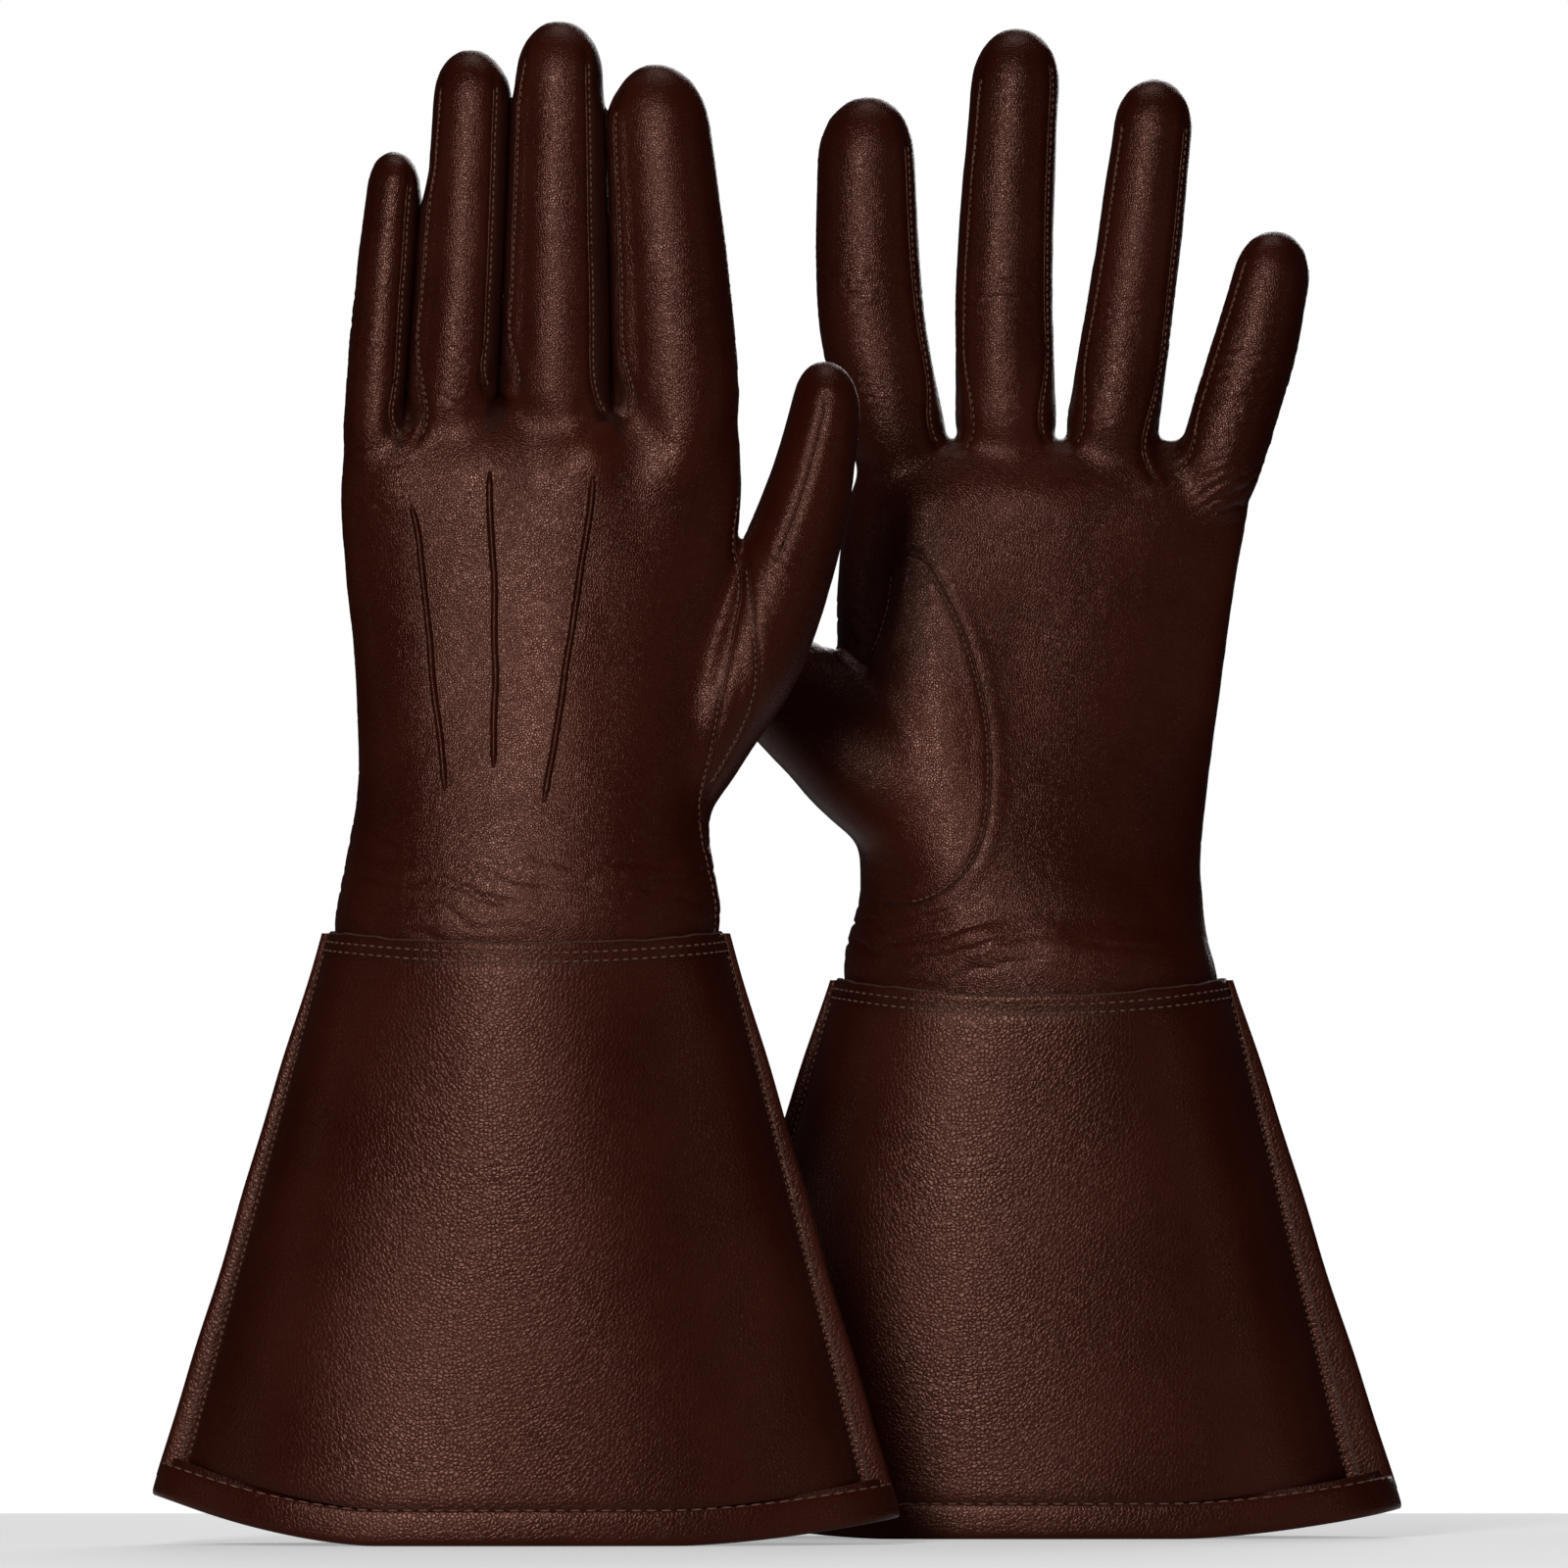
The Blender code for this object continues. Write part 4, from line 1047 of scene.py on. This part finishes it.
def pieces_of(glove, points):
    """The name of the leather piece at each point."""
    limb_of, _, side, _ = locate(glove, points)
    part = part_of(glove, points)
    piece = np.where(points[:, 1] < 0, "back", "palm").astype(object)
    piece[(points[:, 1] >= 0) & inside_outline(points, thumb_outline(glove))] = "thumb_base"
    edge_x = np.interp(points[:, 2], [g[2] for g in thumb_guides(glove)[-2]][::-1],
                       [g[0] for g in thumb_guides(glove)[-2]][::-1])
    root = (points[:, 0] > edge_x + 0.6) & (points[:, 2] > glove["wrist"] + 6)
    root &= points[:, 2] < glove["thumb_bend"][2] + 16
    piece[root] = "thumb_base"
    for place, name in enumerate(("little_fork", "middle_fork", "index_fork")):
        x, z = glove["crotches"][place]
        left, right = glove["limbs"][place], glove["limbs"][place + 1]
        deep = FORK_SHARE * min(left.depths[0], right.depths[0])
        facing = ((limb_of == place) & (side > 0.3)) | ((limb_of == place + 1) & (side < -0.3))
        facing |= (np.abs(points[:, 0] - x) < 6) & (points[:, 2] > z - 6) & (limb_of < 0)
        piece[facing & (np.abs(points[:, 1]) < deep)] = name
    for name in ("little", "ring", "middle", "index", "thumb"):
        piece[part == name] = name
    piece[part == "wrist"] = "wrist"
    return piece


PIECE_NAMES = {"back": "back_leather", "palm": "palm_leather", "thumb_base": "thumb_base_leather",
               "wrist": "wrist_leather", "little_fork": "little_fork_leather",
               "middle_fork": "middle_fork_leather", "index_fork": "index_fork_leather"}
STANDS_FOR = {"back": ["back_panel"], "palm": ["palm_panel"], "thumb_base": ["thumb_base"],
              "wrist": ["wrist_bend"], "little_fork": ["little_fork"],
              "middle_fork": ["middle_fork"], "index_fork": ["index_fork"],
              "thumb": ["thumb_bend", "thumb_end"]}
STANDS_FOR.update({n: [n + "_bend", n + "_finger"] for n in ("little", "ring", "middle", "index")})


def submesh(faces, chosen):
    """The chosen faces alone, and the old numbers of the points they use."""
    used = np.unique(np.concatenate([faces[i] for i in chosen]))
    number = {old: new for new, old in enumerate(used)}
    return used, [tuple(number[v] for v in faces[i]) for i in chosen]


for glove in (FRONT, REAR):
    skin = glove["surface"]
    middles = np.array([skin.points[list(f)].mean(axis=0) for f in skin.faces])
    names = pieces_of(glove, middles)
    for name in sorted(set(names)):
        used, faces = submesh(skin.faces, np.where(names == name)[0])
        part = name if name in BLEND else "hand"
        obj = publish(glove, PIECE_NAMES.get(name, name + "_leather"), skin.points[used], faces,
                      [HAND_LEATHER], part, "hand_leather", skin.normals[used],
                      {k: v[used] for k, v in skin.fields.items()})
        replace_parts(obj, *[glove["name"] + "_" + n for n in STANDS_FOR[name]])
    print(glove["name"], "pieces", sorted(set(names)))

# %% [markdown]
# ## Seam edges, points and stitches
# A sewn seam shows as a thin raised lip with a row of small stitches beside it. The lip is a
# narrow profile swept along the seam line, and a stitch is a short bead of thread. The three
# points on the back are the same sweep with a taller profile, and short ends.

# %% Sweeps and beads
def sweep(places, normals, profile, taper=4):
    """A profile of (sideways, up) points carried along a line on the skin, fading at its ends."""
    along = np.gradient(places, axis=0)
    along /= np.linalg.norm(along, axis=1, keepdims=True)
    side = np.cross(along, normals)
    side /= np.linalg.norm(side, axis=1, keepdims=True)
    up = np.cross(side, along)
    count, width = len(places), len(profile)
    size = np.minimum(1.0, (0.6 + np.minimum(np.arange(count), np.arange(count)[::-1])) / taper)
    rows = [places + side * a * (0.4 + 0.6 * size[:, None]) + up * b * size[:, None]
            for a, b in profile]
    vertices = np.stack(rows, axis=1).reshape(-1, 3)
    faces = loft_faces(count, width)
    return vertices, [tuple(reversed(f)) for f in faces]


def bead(centre, along, up, length, thick):
    """One stitch: a short six-sided grain of thread."""
    side = np.cross(along, up)
    rows = []
    for share, size in ((-0.5, 0.35), (-0.3, 0.9), (0.0, 1.0), (0.3, 0.9), (0.5, 0.35)):
        lift = (1 - (2 * share) ** 2) * thick * 0.35
        for k in range(6):
            angle = k * np.pi / 3
            rows.append(centre + along * share * length + up * (lift + np.sin(angle) * thick * size / 2)
                        + side * np.cos(angle) * thick * size / 2)
    return np.array(rows), loft_faces(5, 6)


class Heap:
    """Collects many small solids into one piece."""

    def __init__(self):
        self.vertices, self.faces, self.count = [], [], 0

    def add(self, vertices, faces):
        self.faces += [tuple(self.count + i for i in f) for f in faces]
        self.vertices.append(vertices)
        self.count += len(vertices)

    def all(self):
        return np.vstack(self.vertices), self.faces


def stitch_line(heaps, glove, places, normals, pitch, length, thick, offset, lift):
    """Adds beads along a line, each to the heap of the part it is on."""
    step = np.linalg.norm(places[1] - places[0])
    every = max(1, int(round(pitch / step)))
    chosen = np.arange(every // 2, len(places) - 1, every)
    if not len(chosen):
        return
    parts = part_of(glove, places[chosen])
    for i, part in zip(chosen, parts):
        along = places[i + 1] - places[i - 1] if i else places[1] - places[0]
        along = along / np.linalg.norm(along)
        side = np.cross(along, normals[i])
        centre = places[i] + side * offset + normals[i] * lift
        heaps.setdefault(part, Heap()).add(*bead(centre, along, normals[i], length, thick))


def split_by_part(glove, places, normals):
    """Runs of a line that lie on one moving part."""
    parts = part_of(glove, places)
    starts = [0] + [i for i in range(1, len(parts)) if parts[i] != parts[i - 1]] + [len(parts)]
    for a, b in zip(starts, starts[1:]):
        low, high = max(0, a - 1), b
        if high - low > 3:
            yield parts[a], places[low:high], normals[low:high]


def resettle(glove, kind, places):
    """Lays a seam on the pressed skin, without jumping to the next finger."""
    skin = glove["surface"]
    tree = skin.tree
    if kind == "fork":
        limb_of = locate(glove, places[-12:])[0]
        own = np.bincount(limb_of[limb_of >= 0]).argmax()
        tree = skin.tree_without((skin.limb_of != own) & (skin.limb_of >= 0) & (skin.along > 5))
    return skin.line(places[::10], tree=tree)


print("a bead has", len(bead(np.zeros(3), np.array([1.0, 0, 0]), np.array([0, 0, 1.0]), 1, 1)[0]),
      "points")

# %% [markdown]
# Every seam now gets its lip and its stitches, in one piece for each moving part. The points'
# profile is taller, with a row of stitches down either flank.

# %% Lips, points and stitches
LIP = [(-0.42, -0.4), (-0.36, 0.10), (-0.16, 0.27), (0.10, 0.25), (0.28, 0.02), (0.34, -0.4)]
POINT = [(-1.3, -0.5), (-0.95, -0.1), (-0.72, 0.3), (-0.5, 0.8), (-0.18, 1.05), (0.2, 1.02),
         (0.5, 0.75), (0.72, 0.25), (0.95, -0.1), (1.3, -0.5)]

for glove in (FRONT, REAR):
    skin, lips, threads = glove["surface"], {}, {}
    for kind, (places, _) in glove["seams"]:
        places, normals = resettle(glove, kind, places)
        for part, run, ups in split_by_part(glove, places, normals):
            lips.setdefault(part, Heap()).add(*sweep(run, ups, LIP, 1.0))
        if kind == "side":
            stitch_line(threads, glove, places, normals, 2.3, 1.25, 0.30, 0.7, -0.06)
        else:
            stitch_line(threads, glove, places, normals, 1.9, 1.25, 0.44, 0.72, 0.10)
    for part, heap in lips.items():
        publish(glove, part + "_seam_edges", *heap.all(), [HAND_LEATHER], part, "hand_leather")
    ridge = {}
    for name, guides in zip(("little_point", "middle_point", "index_point"), glove["points"]):
        places, normals = skin.line([(x, -30, z) for x, z in guides])
        obj = publish(glove, name + "_ridge", *sweep(places, normals, POINT, 6), [HAND_LEATHER],
                      "hand", "hand_leather")
        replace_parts(obj, glove["name"] + "_" + name)
        for offset in (-1.15, 1.15):
            stitch_line(threads, glove, places, normals, 1.8, 1.1, 0.42, offset, 0.06)
    for part, heap in threads.items():
        publish(glove, part + "_stitches", *heap.all(), [THREAD], part, "hand_leather")
    print(glove["name"], "seam parts", sorted(lips), "stitch parts", sorted(threads))

# %% [markdown]
# ## The gauntlet cuff
# The cuff is firm leather, so it is drawn and not melted: a superellipse at every height, with
# straight sides and a slow wave. Each panel has a true thickness with a pale cut edge at its
# top. The hem is turned: it wraps under the edge and up inside, and its fold stands proud.

# %% Cuff surfaces
# how wide each side strip is at the hem, on the little side and the thumb side, and at the top
STRIP_AT_HEM, STRIP_AT_TOP = {"front": (6.5, 7.5), "rear": (12.0, 6.5)}, 1.8
TOP_HALF_WIDTH, TOP_HALF_DEPTH = 50.3, 30.0
PANEL_THICKNESS = 1.5
HEM_LINE = 8.8
CUFF_POWER = 2.12
LEVEL_SHARE = 0.40


def strip_width(glove, side, share):
    """The width of the strip on this side of the cuff, this share of the way up."""
    little, thumb = STRIP_AT_HEM[glove["name"]]
    low = np.where(np.asarray(side) < 0, little, thumb)
    return low + (STRIP_AT_TOP - low) * share


def cuff_place(glove, angle, height, inset, over_strips=False):
    """A point of the cuff's surface, this far inside it."""
    share = height / glove["cuff_top"]
    width = glove["half_width"] + (TOP_HALF_WIDTH - glove["half_width"]) * share
    depth = glove["half_depth"] + (TOP_HALF_DEPTH - glove["half_depth"]) * share
    c, s = np.cos(angle), np.sin(angle)
    if not over_strips:
        width = width - strip_width(glove, c, share)
    ux, uy = (np.sign(v) * np.abs(v) ** (2 / CUFF_POWER) for v in (c, s))
    nx = np.sign(ux) * np.abs(ux) ** (CUFF_POWER - 1) / width
    ny = np.sign(uy) * np.abs(uy) ** (CUFF_POWER - 1) / depth
    norm = np.sqrt(nx ** 2 + ny ** 2)
    wave = 0.9 * np.sin(3 * angle + 1.1) * (1 - share) + 0.5 * np.sin(5 * angle + height / 40)
    out = wave * np.minimum(1, np.abs(uy) * 1.6) - inset
    x = ux * width + nx / norm * out
    y = uy * depth + ny / norm * out
    past = np.maximum(0, np.abs(ux) - LEVEL_SHARE) / (1 - LEVEL_SHARE)
    left, right = glove["hem_rise"]
    rise = np.where(ux < 0, left, right) * past ** 1.6 * (1 - share)
    sag = glove["top_sag"] * (1 - ux ** 2) * share ** 2
    return np.stack([x, y, height + rise - sag], axis=-1)


def sweep_loop(glove, angles, profile, over_strips, closed):
    """A closed profile of (height, inset) points carried round the cuff."""
    count, width = len(angles), len(profile)
    rows = []
    for height, inset in profile:
        heights = height + 0 * angles if np.isscalar(height) else height
        rows.append(cuff_place(glove, angles, heights, inset, over_strips))
    vertices = np.stack(rows, axis=1).reshape(-1, 3)
    faces = []
    for i in range(count if closed else count - 1):
        j = (i + 1) % count
        for k in range(width):
            m = (k + 1) % width
            faces.append((i * width + k, j * width + k, j * width + m, i * width + m))
    if not closed:
        faces.append(tuple(range(width)))
        last = (count - 1) * width
        faces.append(tuple(last + k for k in reversed(range(width))))
    return vertices, faces


def even_angles(glove, low, high, count):
    """Angles whose points are evenly spaced along the cuff at mid height."""
    dense = np.linspace(low, high, 2000)
    places = cuff_place(glove, dense, 70.0 + 0 * dense, 0.0)
    length = np.concatenate([[0], np.cumsum(np.linalg.norm(np.diff(places, axis=0), axis=1))])
    return np.interp(np.linspace(0, length[-1], count), length, dense)


def top_wobble(angles):
    """The hand-cut top edge is never quite straight."""
    return 0.16 * np.sin(angles * 9) + 0.10 * np.sin(angles * 23 + 1) + 0.05 * np.sin(angles * 41)


print("cuff widths", TOP_HALF_WIDTH, round(FRONT["half_width"], 1))

# %% [markdown]
# Each panel is a profile too: up the outside in small steps, over the cut edge, and down the
# inside. The faces of the cut edge take the second material.

# %% Cuff panels and hem
def panel(glove, name, low, high):
    angles = even_angles(glove, low, high, 150)
    top = glove["cuff_top"] + top_wobble(angles)
    heights = [HEM_LINE + 0.6 + (glove["cuff_top"] - 0.6 - HEM_LINE) * t
               for t in np.linspace(0, 1, 80)]
    profile = [(HEM_LINE, 0.9), (HEM_LINE + 0.05, 0.3)]
    for h in heights[:-1]:
        dip = stitched_dip(h, glove)
        profile.append((h + 0 * angles, dip))
    profile += [(top - 0.35, 0.02), (top, 0.3), (top - 0.05, PANEL_THICKNESS - 0.2),
                (top - 0.4, PANEL_THICKNESS)]
    cut_first = len(profile) - 4
    profile += [(h + 0 * angles, PANEL_THICKNESS) for h in heights[-2::-8]]
    profile.append((HEM_LINE, PANEL_THICKNESS))
    vertices, faces = sweep_loop(glove, angles, profile, False, False)
    width = len(profile)
    marks = np.zeros(len(faces), int)
    for f in range((len(angles) - 1) * width):
        if cut_first <= f % width < cut_first + 3:
            marks[f] = 1
    gaps = np.array([[nearest_row(np.mean(h), glove)] * len(angles) for h, _ in profile]).T.ravel()
    seam = 0.55 * np.exp(-(gaps / 0.8) ** 2)
    obj = publish(glove, name, vertices, faces, [CUFF_LEATHER, CUT_EDGE], "cuff", "cuff_leather",
                  fields={"seam": seam, "wear": np.zeros(len(vertices))}, slots_of=marks)
    obj.data.set_sharp_from_angle(angle=math.radians(50))
    return obj


TOP_ROWS = (2.6, 4.9)


def nearest_row(height, glove):
    """How far a height is from the nearest row of stitches."""
    rows = [glove["cuff_top"] - r for r in TOP_ROWS] + [HEM_LINE]
    return min(abs(height - r) for r in rows)


def stitched_dip(height, glove):
    """The leather sinks a little under each row of stitches."""
    return 0.32 * math.exp(-(nearest_row(height, glove) / 0.9) ** 2)


HEM_PROFILE = [(HEM_LINE, 0.7), (HEM_LINE - 0.05, 0.28), (8.2, 0.12), (7.4, 0.0), (6.0, -0.06),
               (3.6, -0.05), (2.0, 0.0), (1.2, 0.12), (0.6, 0.35), (0.2, 0.75), (0.0, 1.5),
               (0.0, 2.4), (0.3, 3.3), (1.2, 4.0), (3.5, 4.25), (7.0, 4.2), (9.6, 4.1),
               (10.2, 3.6), (10.0, 2.9), (8.6, 2.4), (8.4, 1.2)]
for glove in (FRONT, REAR):
    edge = 0.012
    for name, low in (("cuff_back", np.pi), ("cuff_palm", 0.0)):
        obj = panel(glove, name + "_panel", low + edge, low + np.pi - edge)
        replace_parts(obj, glove["name"] + "_" + name)
    angles = even_angles(glove, 0, 2 * np.pi, 361)[:-1]
    vertices, faces = sweep_loop(glove, angles, HEM_PROFILE, True, True)
    hem = publish(glove, "turned_hem", vertices, faces, [CUFF_LEATHER], "cuff", "cuff_leather")
    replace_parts(hem, glove["name"] + "_cuff_hem")
    print(glove["name"], "cuff panels and hem")

# %% [markdown]
# ## Side strips
# Down each side the two panels meet in a folded strip, which stands out past them. Its cut
# edge shows as a pale line. It is swept from the hem to the cuff's top and narrows as it
# rises.

# %% Side strips
STRIP_PROFILE = [(-0.35, 1.2), (0.0, 1.5), (0.22, 1.75), (0.29, 1.7), (0.55, 1.55), (0.80, 1.4),
                 (0.95, 0.95), (1.0, 0.0), (0.95, -0.95), (0.80, -1.4), (0.55, -1.55),
                 (0.29, -1.7), (0.22, -1.75), (0.0, -1.5), (-0.35, -1.2)]


def strip(glove, name, toward):
    heights = np.linspace(5.5, glove["cuff_top"] - 0.4, 90)
    rows = []
    for h in heights:
        share = h / glove["cuff_top"]
        far = glove["half_width"] + (TOP_HALF_WIDTH - glove["half_width"]) * share
        wide = float(strip_width(glove, toward, share))
        rise = glove["hem_rise"][0 if toward < 0 else 1] * (1 - share)
        sway = 0.35 * math.sin(h / 13) + 0.25 * math.sin(h / 6.1 + 1)
        slim = 0.75 + 0.25 * (1 - share)
        rows.append([(toward * (far - wide + u * wide + sway * u * 0.5),
                      -v * toward * slim, h + rise) for u, v in STRIP_PROFILE])
    vertices = np.array(rows).reshape(-1, 3)
    faces = loft_faces(len(heights), len(STRIP_PROFILE))
    marks = np.zeros(len(faces), int)
    width = len(STRIP_PROFILE)
    for level in range(len(heights) - 1):
        for k in (2, 11):
            marks[1 + level * width + k] = 1
    obj = publish(glove, name, vertices, [tuple(reversed(f)) for f in faces],
                  [CUFF_LEATHER, CUT_EDGE], "cuff", "cuff_leather", slots_of=marks)
    obj.data.set_sharp_from_angle(angle=math.radians(60))
    return obj


for glove in (FRONT, REAR):
    for name, toward in (("thumb_side_strip", 1), ("little_side_strip", -1)):
        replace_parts(strip(glove, name + "_fold", toward), glove["name"] + "_" + name)
    print(glove["name"], "side strips")

# %% [markdown]
# ## Cuff stitching
# Two rows hold the cuff's top edge to the hand, one row holds the hem, and two rows run down
# each side strip. The machine stitches are longer on the hem than along the sides.

# %% Cuff stitches
SIDE_ROWS = (0.05, 0.085)       # how far round the cuff from its side, in radians


def cuff_row(heap, glove, angles, height, inset, pitch, length, thick, over_strips=False):
    """A row of beads along the cuff's surface."""
    places = cuff_place(glove, angles, height + 0 * angles, inset, over_strips)
    places = respace(places, pitch)
    along = np.gradient(places, axis=0)
    along /= np.linalg.norm(along, axis=1, keepdims=True)
    out = np.cross(along, (0, 0, 1.0))
    for place, way, up in zip(places, along, out):
        heap.add(*bead(place, way, up / np.linalg.norm(up), length, thick))


def side_row(heap, glove, angle, low, pitch, length, thick):
    """A row of beads up the cuff, close beside its side strip."""
    heights = np.linspace(low, glove["cuff_top"] - 5, 200)
    places = respace(cuff_place(glove, angle + 0 * heights, heights, 0.05), pitch)
    outward = np.sign(math.sin(angle))
    for place, after in zip(places, places[1:]):
        way = (after - place) / np.linalg.norm(after - place)
        up = np.array([math.cos(angle) * 0.6, outward, 0.0])
        up -= way * up.dot(way)
        heap.add(*bead(place, way, up / np.linalg.norm(up), length, thick))


for glove in (FRONT, REAR):
    heap = Heap()
    for drop in TOP_ROWS:
        for low in (0.0, np.pi):
            cuff_row(heap, glove, np.linspace(low + 0.03, low + np.pi - 0.03, 400),
                     glove["cuff_top"] - drop, 0.18, 2.45, 1.6, 0.5)
    cuff_row(heap, glove, np.linspace(0, 2 * np.pi, 721), HEM_LINE, 0.45, 3.7, 2.7, 0.5, True)
    for base, way in ((0.0, 1), (np.pi, -1), (np.pi, 1), (2 * np.pi, -1)):
        for off in SIDE_ROWS:
            side_row(heap, glove, base + way * off, HEM_LINE + 3, 1.75, 1.05, 0.4)
    publish(glove, "cuff_stitches", *heap.all(), [THREAD], "cuff", "cuff_leather")
    print(glove["name"], "cuff stitches", len(heap.vertices))

# %% [markdown]
# ## Linings
# Each lining is a thin knitted tube. The cuff's follows the panels from inside the turned hem
# up to the wrist, and the hand's hangs loose inside the leather, so both can be seen by
# looking into the cuff.

# %% Linings
LINING_THICKNESS = 0.8
HAND_SLACK = 4.6        # how far inside its leather the hand's lining hangs
CUFF_SLACK = 1.9


def tube(outer, inner):
    """A wall between two stacks of rings with the same count."""
    levels, count = outer.shape[:2]
    vertices = np.vstack([outer.reshape(-1, 3), inner.reshape(-1, 3)])
    inside = levels * count
    faces = []
    for k in range(count):
        m = (k + 1) % count
        for level in range(levels - 1):
            a, b = level * count, (level + 1) * count
            faces.append((a + k, a + m, b + m, b + k))
            faces.append((inside + a + k, inside + b + k, inside + b + m, inside + a + m))
        top = (levels - 1) * count
        faces.append((k, inside + k, inside + m, m))
        faces.append((top + k, top + m, inside + top + m, inside + top + k))
    return vertices, faces


def cuff_lining(glove):
    angles = even_angles(glove, 0, 2 * np.pi, 181)[:-1]
    heights = np.linspace(9.5, glove["cuff_top"] - 12, 40)
    outer, inner = (np.array([cuff_place(glove, angles, h + 0 * angles, inset)
                              for h in heights])
                    for inset in (CUFF_SLACK, CUFF_SLACK + LINING_THICKNESS))
    return tube(outer, inner)


def hand_lining(glove):
    unit = unit_ring(72, 2.1)
    rows = [r for r in glove["hand"] if glove["wrist"] + 3 < r[0] < glove["crotches"][0][1] - 10]
    stacks = []
    for inset in (HAND_SLACK, HAND_SLACK + LINING_THICKNESS):
        rings = []
        for z, low, high, back, palm in smooth_curve([(r[0],) + r for r in rows], 3.0)[:, 1:]:
            deep = np.where(unit[:, 1] < 0, back, palm * palm_lean(glove, unit, z)) - inset
            x = (low + high) / 2 + unit[:, 0] * ((high - low) / 2 - inset)
            rings.append(np.stack([x, unit[:, 1] * deep, np.full(len(unit), z)], axis=1))
        stacks.append(np.array(rings))
    return tube(*stacks)


for glove in (FRONT, REAR):
    for name, made, part in (("cuff_lining", cuff_lining(glove), "cuff"),
                             ("hand_lining", hand_lining(glove), "hand")):
        obj = publish(glove, name + "_knit", *made, [LINING], part, "lining")
        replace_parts(obj, glove["name"] + "_" + name)
    print(glove["name"], "linings")

# %% [markdown]
# ## Floor, light and camera
# A pale floor, one tall soft light in front and a little to the left, and weak fills from both
# sides. The camera stands far off with a long lens, level with the middle of the gloves, so
# that both gloves show at nearly the same scale.

# %% Studio
def area_light(name, place, target, size, power):
    data = bpy.data.lights.new(name, "AREA")
    data.shape = "RECTANGLE"
    data.size, data.size_y = size
    data.energy = power
    obj = bpy.data.objects.new(name, data)
    obj.location = place
    obj.rotation_euler = (Vector(target) - Vector(place)).to_track_quat("-Z", "Y").to_euler()
    bpy.context.scene.collection.objects.link(obj)


def make_floor():
    half = 0.45
    mesh = new_mesh("floor", [(-half, -half, 0), (half, -half, 0), (half, half, 0), (-half, half, 0)],
                    [(0, 1, 2, 3)])
    finish = Finish("pale_floor", Base_Color=(0.86, 0.86, 0.86, 1.0), Roughness=0.9,
                    Specular_IOR_Level=0.1, Emission_Strength=0.35)
    seen = finish.node("ShaderNodeLightPath", {}, {}, "Is Camera Ray")
    finish.set(Emission_Color=finish.mix(seen, (0, 0, 0, 1), (1, 1, 1, 1)))
    mesh.materials.append(finish.material)
    obj = bpy.data.objects.new("floor", mesh)
    bpy.context.scene.collection.objects.link(obj)


def make_world():
    """White where the camera looks past the gloves, and a dimmer grey as light."""
    world = bpy.data.worlds.new("studio")
    world.use_nodes = True
    nodes, links = world.node_tree.nodes, world.node_tree.links
    soft, white = nodes["Background"], nodes.new("ShaderNodeBackground")
    soft.inputs["Color"].default_value = (1, 1, 1, 1)
    soft.inputs["Strength"].default_value = 0.02
    white.inputs["Color"].default_value = (1, 1, 1, 1)
    path, mix = nodes.new("ShaderNodeLightPath"), nodes.new("ShaderNodeMixShader")
    links.new(path.outputs["Is Camera Ray"], mix.inputs[0])
    links.new(soft.outputs[0], mix.inputs[1])
    links.new(white.outputs[0], mix.inputs[2])
    links.new(mix.outputs[0], nodes["World Output"].inputs[0])
    bpy.context.scene.world = world


middle = (0.0, 0.0, 0.19)
area_light("key", (-0.34, -1.75, 0.62), middle, (0.24, 0.7), 16.5)
area_light("left_fill", (-1.7, -0.6, 0.4), middle, (0.2, 0.9), 0.5)
area_light("right_fill", (1.5, -1.2, 0.4), middle, (0.2, 0.9), 0.8)
area_light("back_fill", (0.3, 1.8, 0.9), middle, (1.0, 1.2), 14)
area_light("top", (0.0, 0.1, 1.9), (0, 0, 0), (0.8, 0.8), 4)
make_floor()
make_world()

FRAME_WIDTH = 0.3883
CAMERA_DISTANCE = 12.0
camera = bpy.data.cameras.new("camera")
camera.sensor_width = 36.0
camera.lens = camera.sensor_width * CAMERA_DISTANCE / FRAME_WIDTH
view = bpy.data.objects.new("camera", camera)
view.location = (0.001, -CAMERA_DISTANCE, 0.1874)
view.rotation_euler = (math.pi / 2, 0, 0)
bpy.context.scene.collection.objects.link(view)
bpy.context.scene.camera = view
bpy.context.scene.view_settings.view_transform = "Standard"
print("camera", tuple(round(v, 3) for v in view.location))
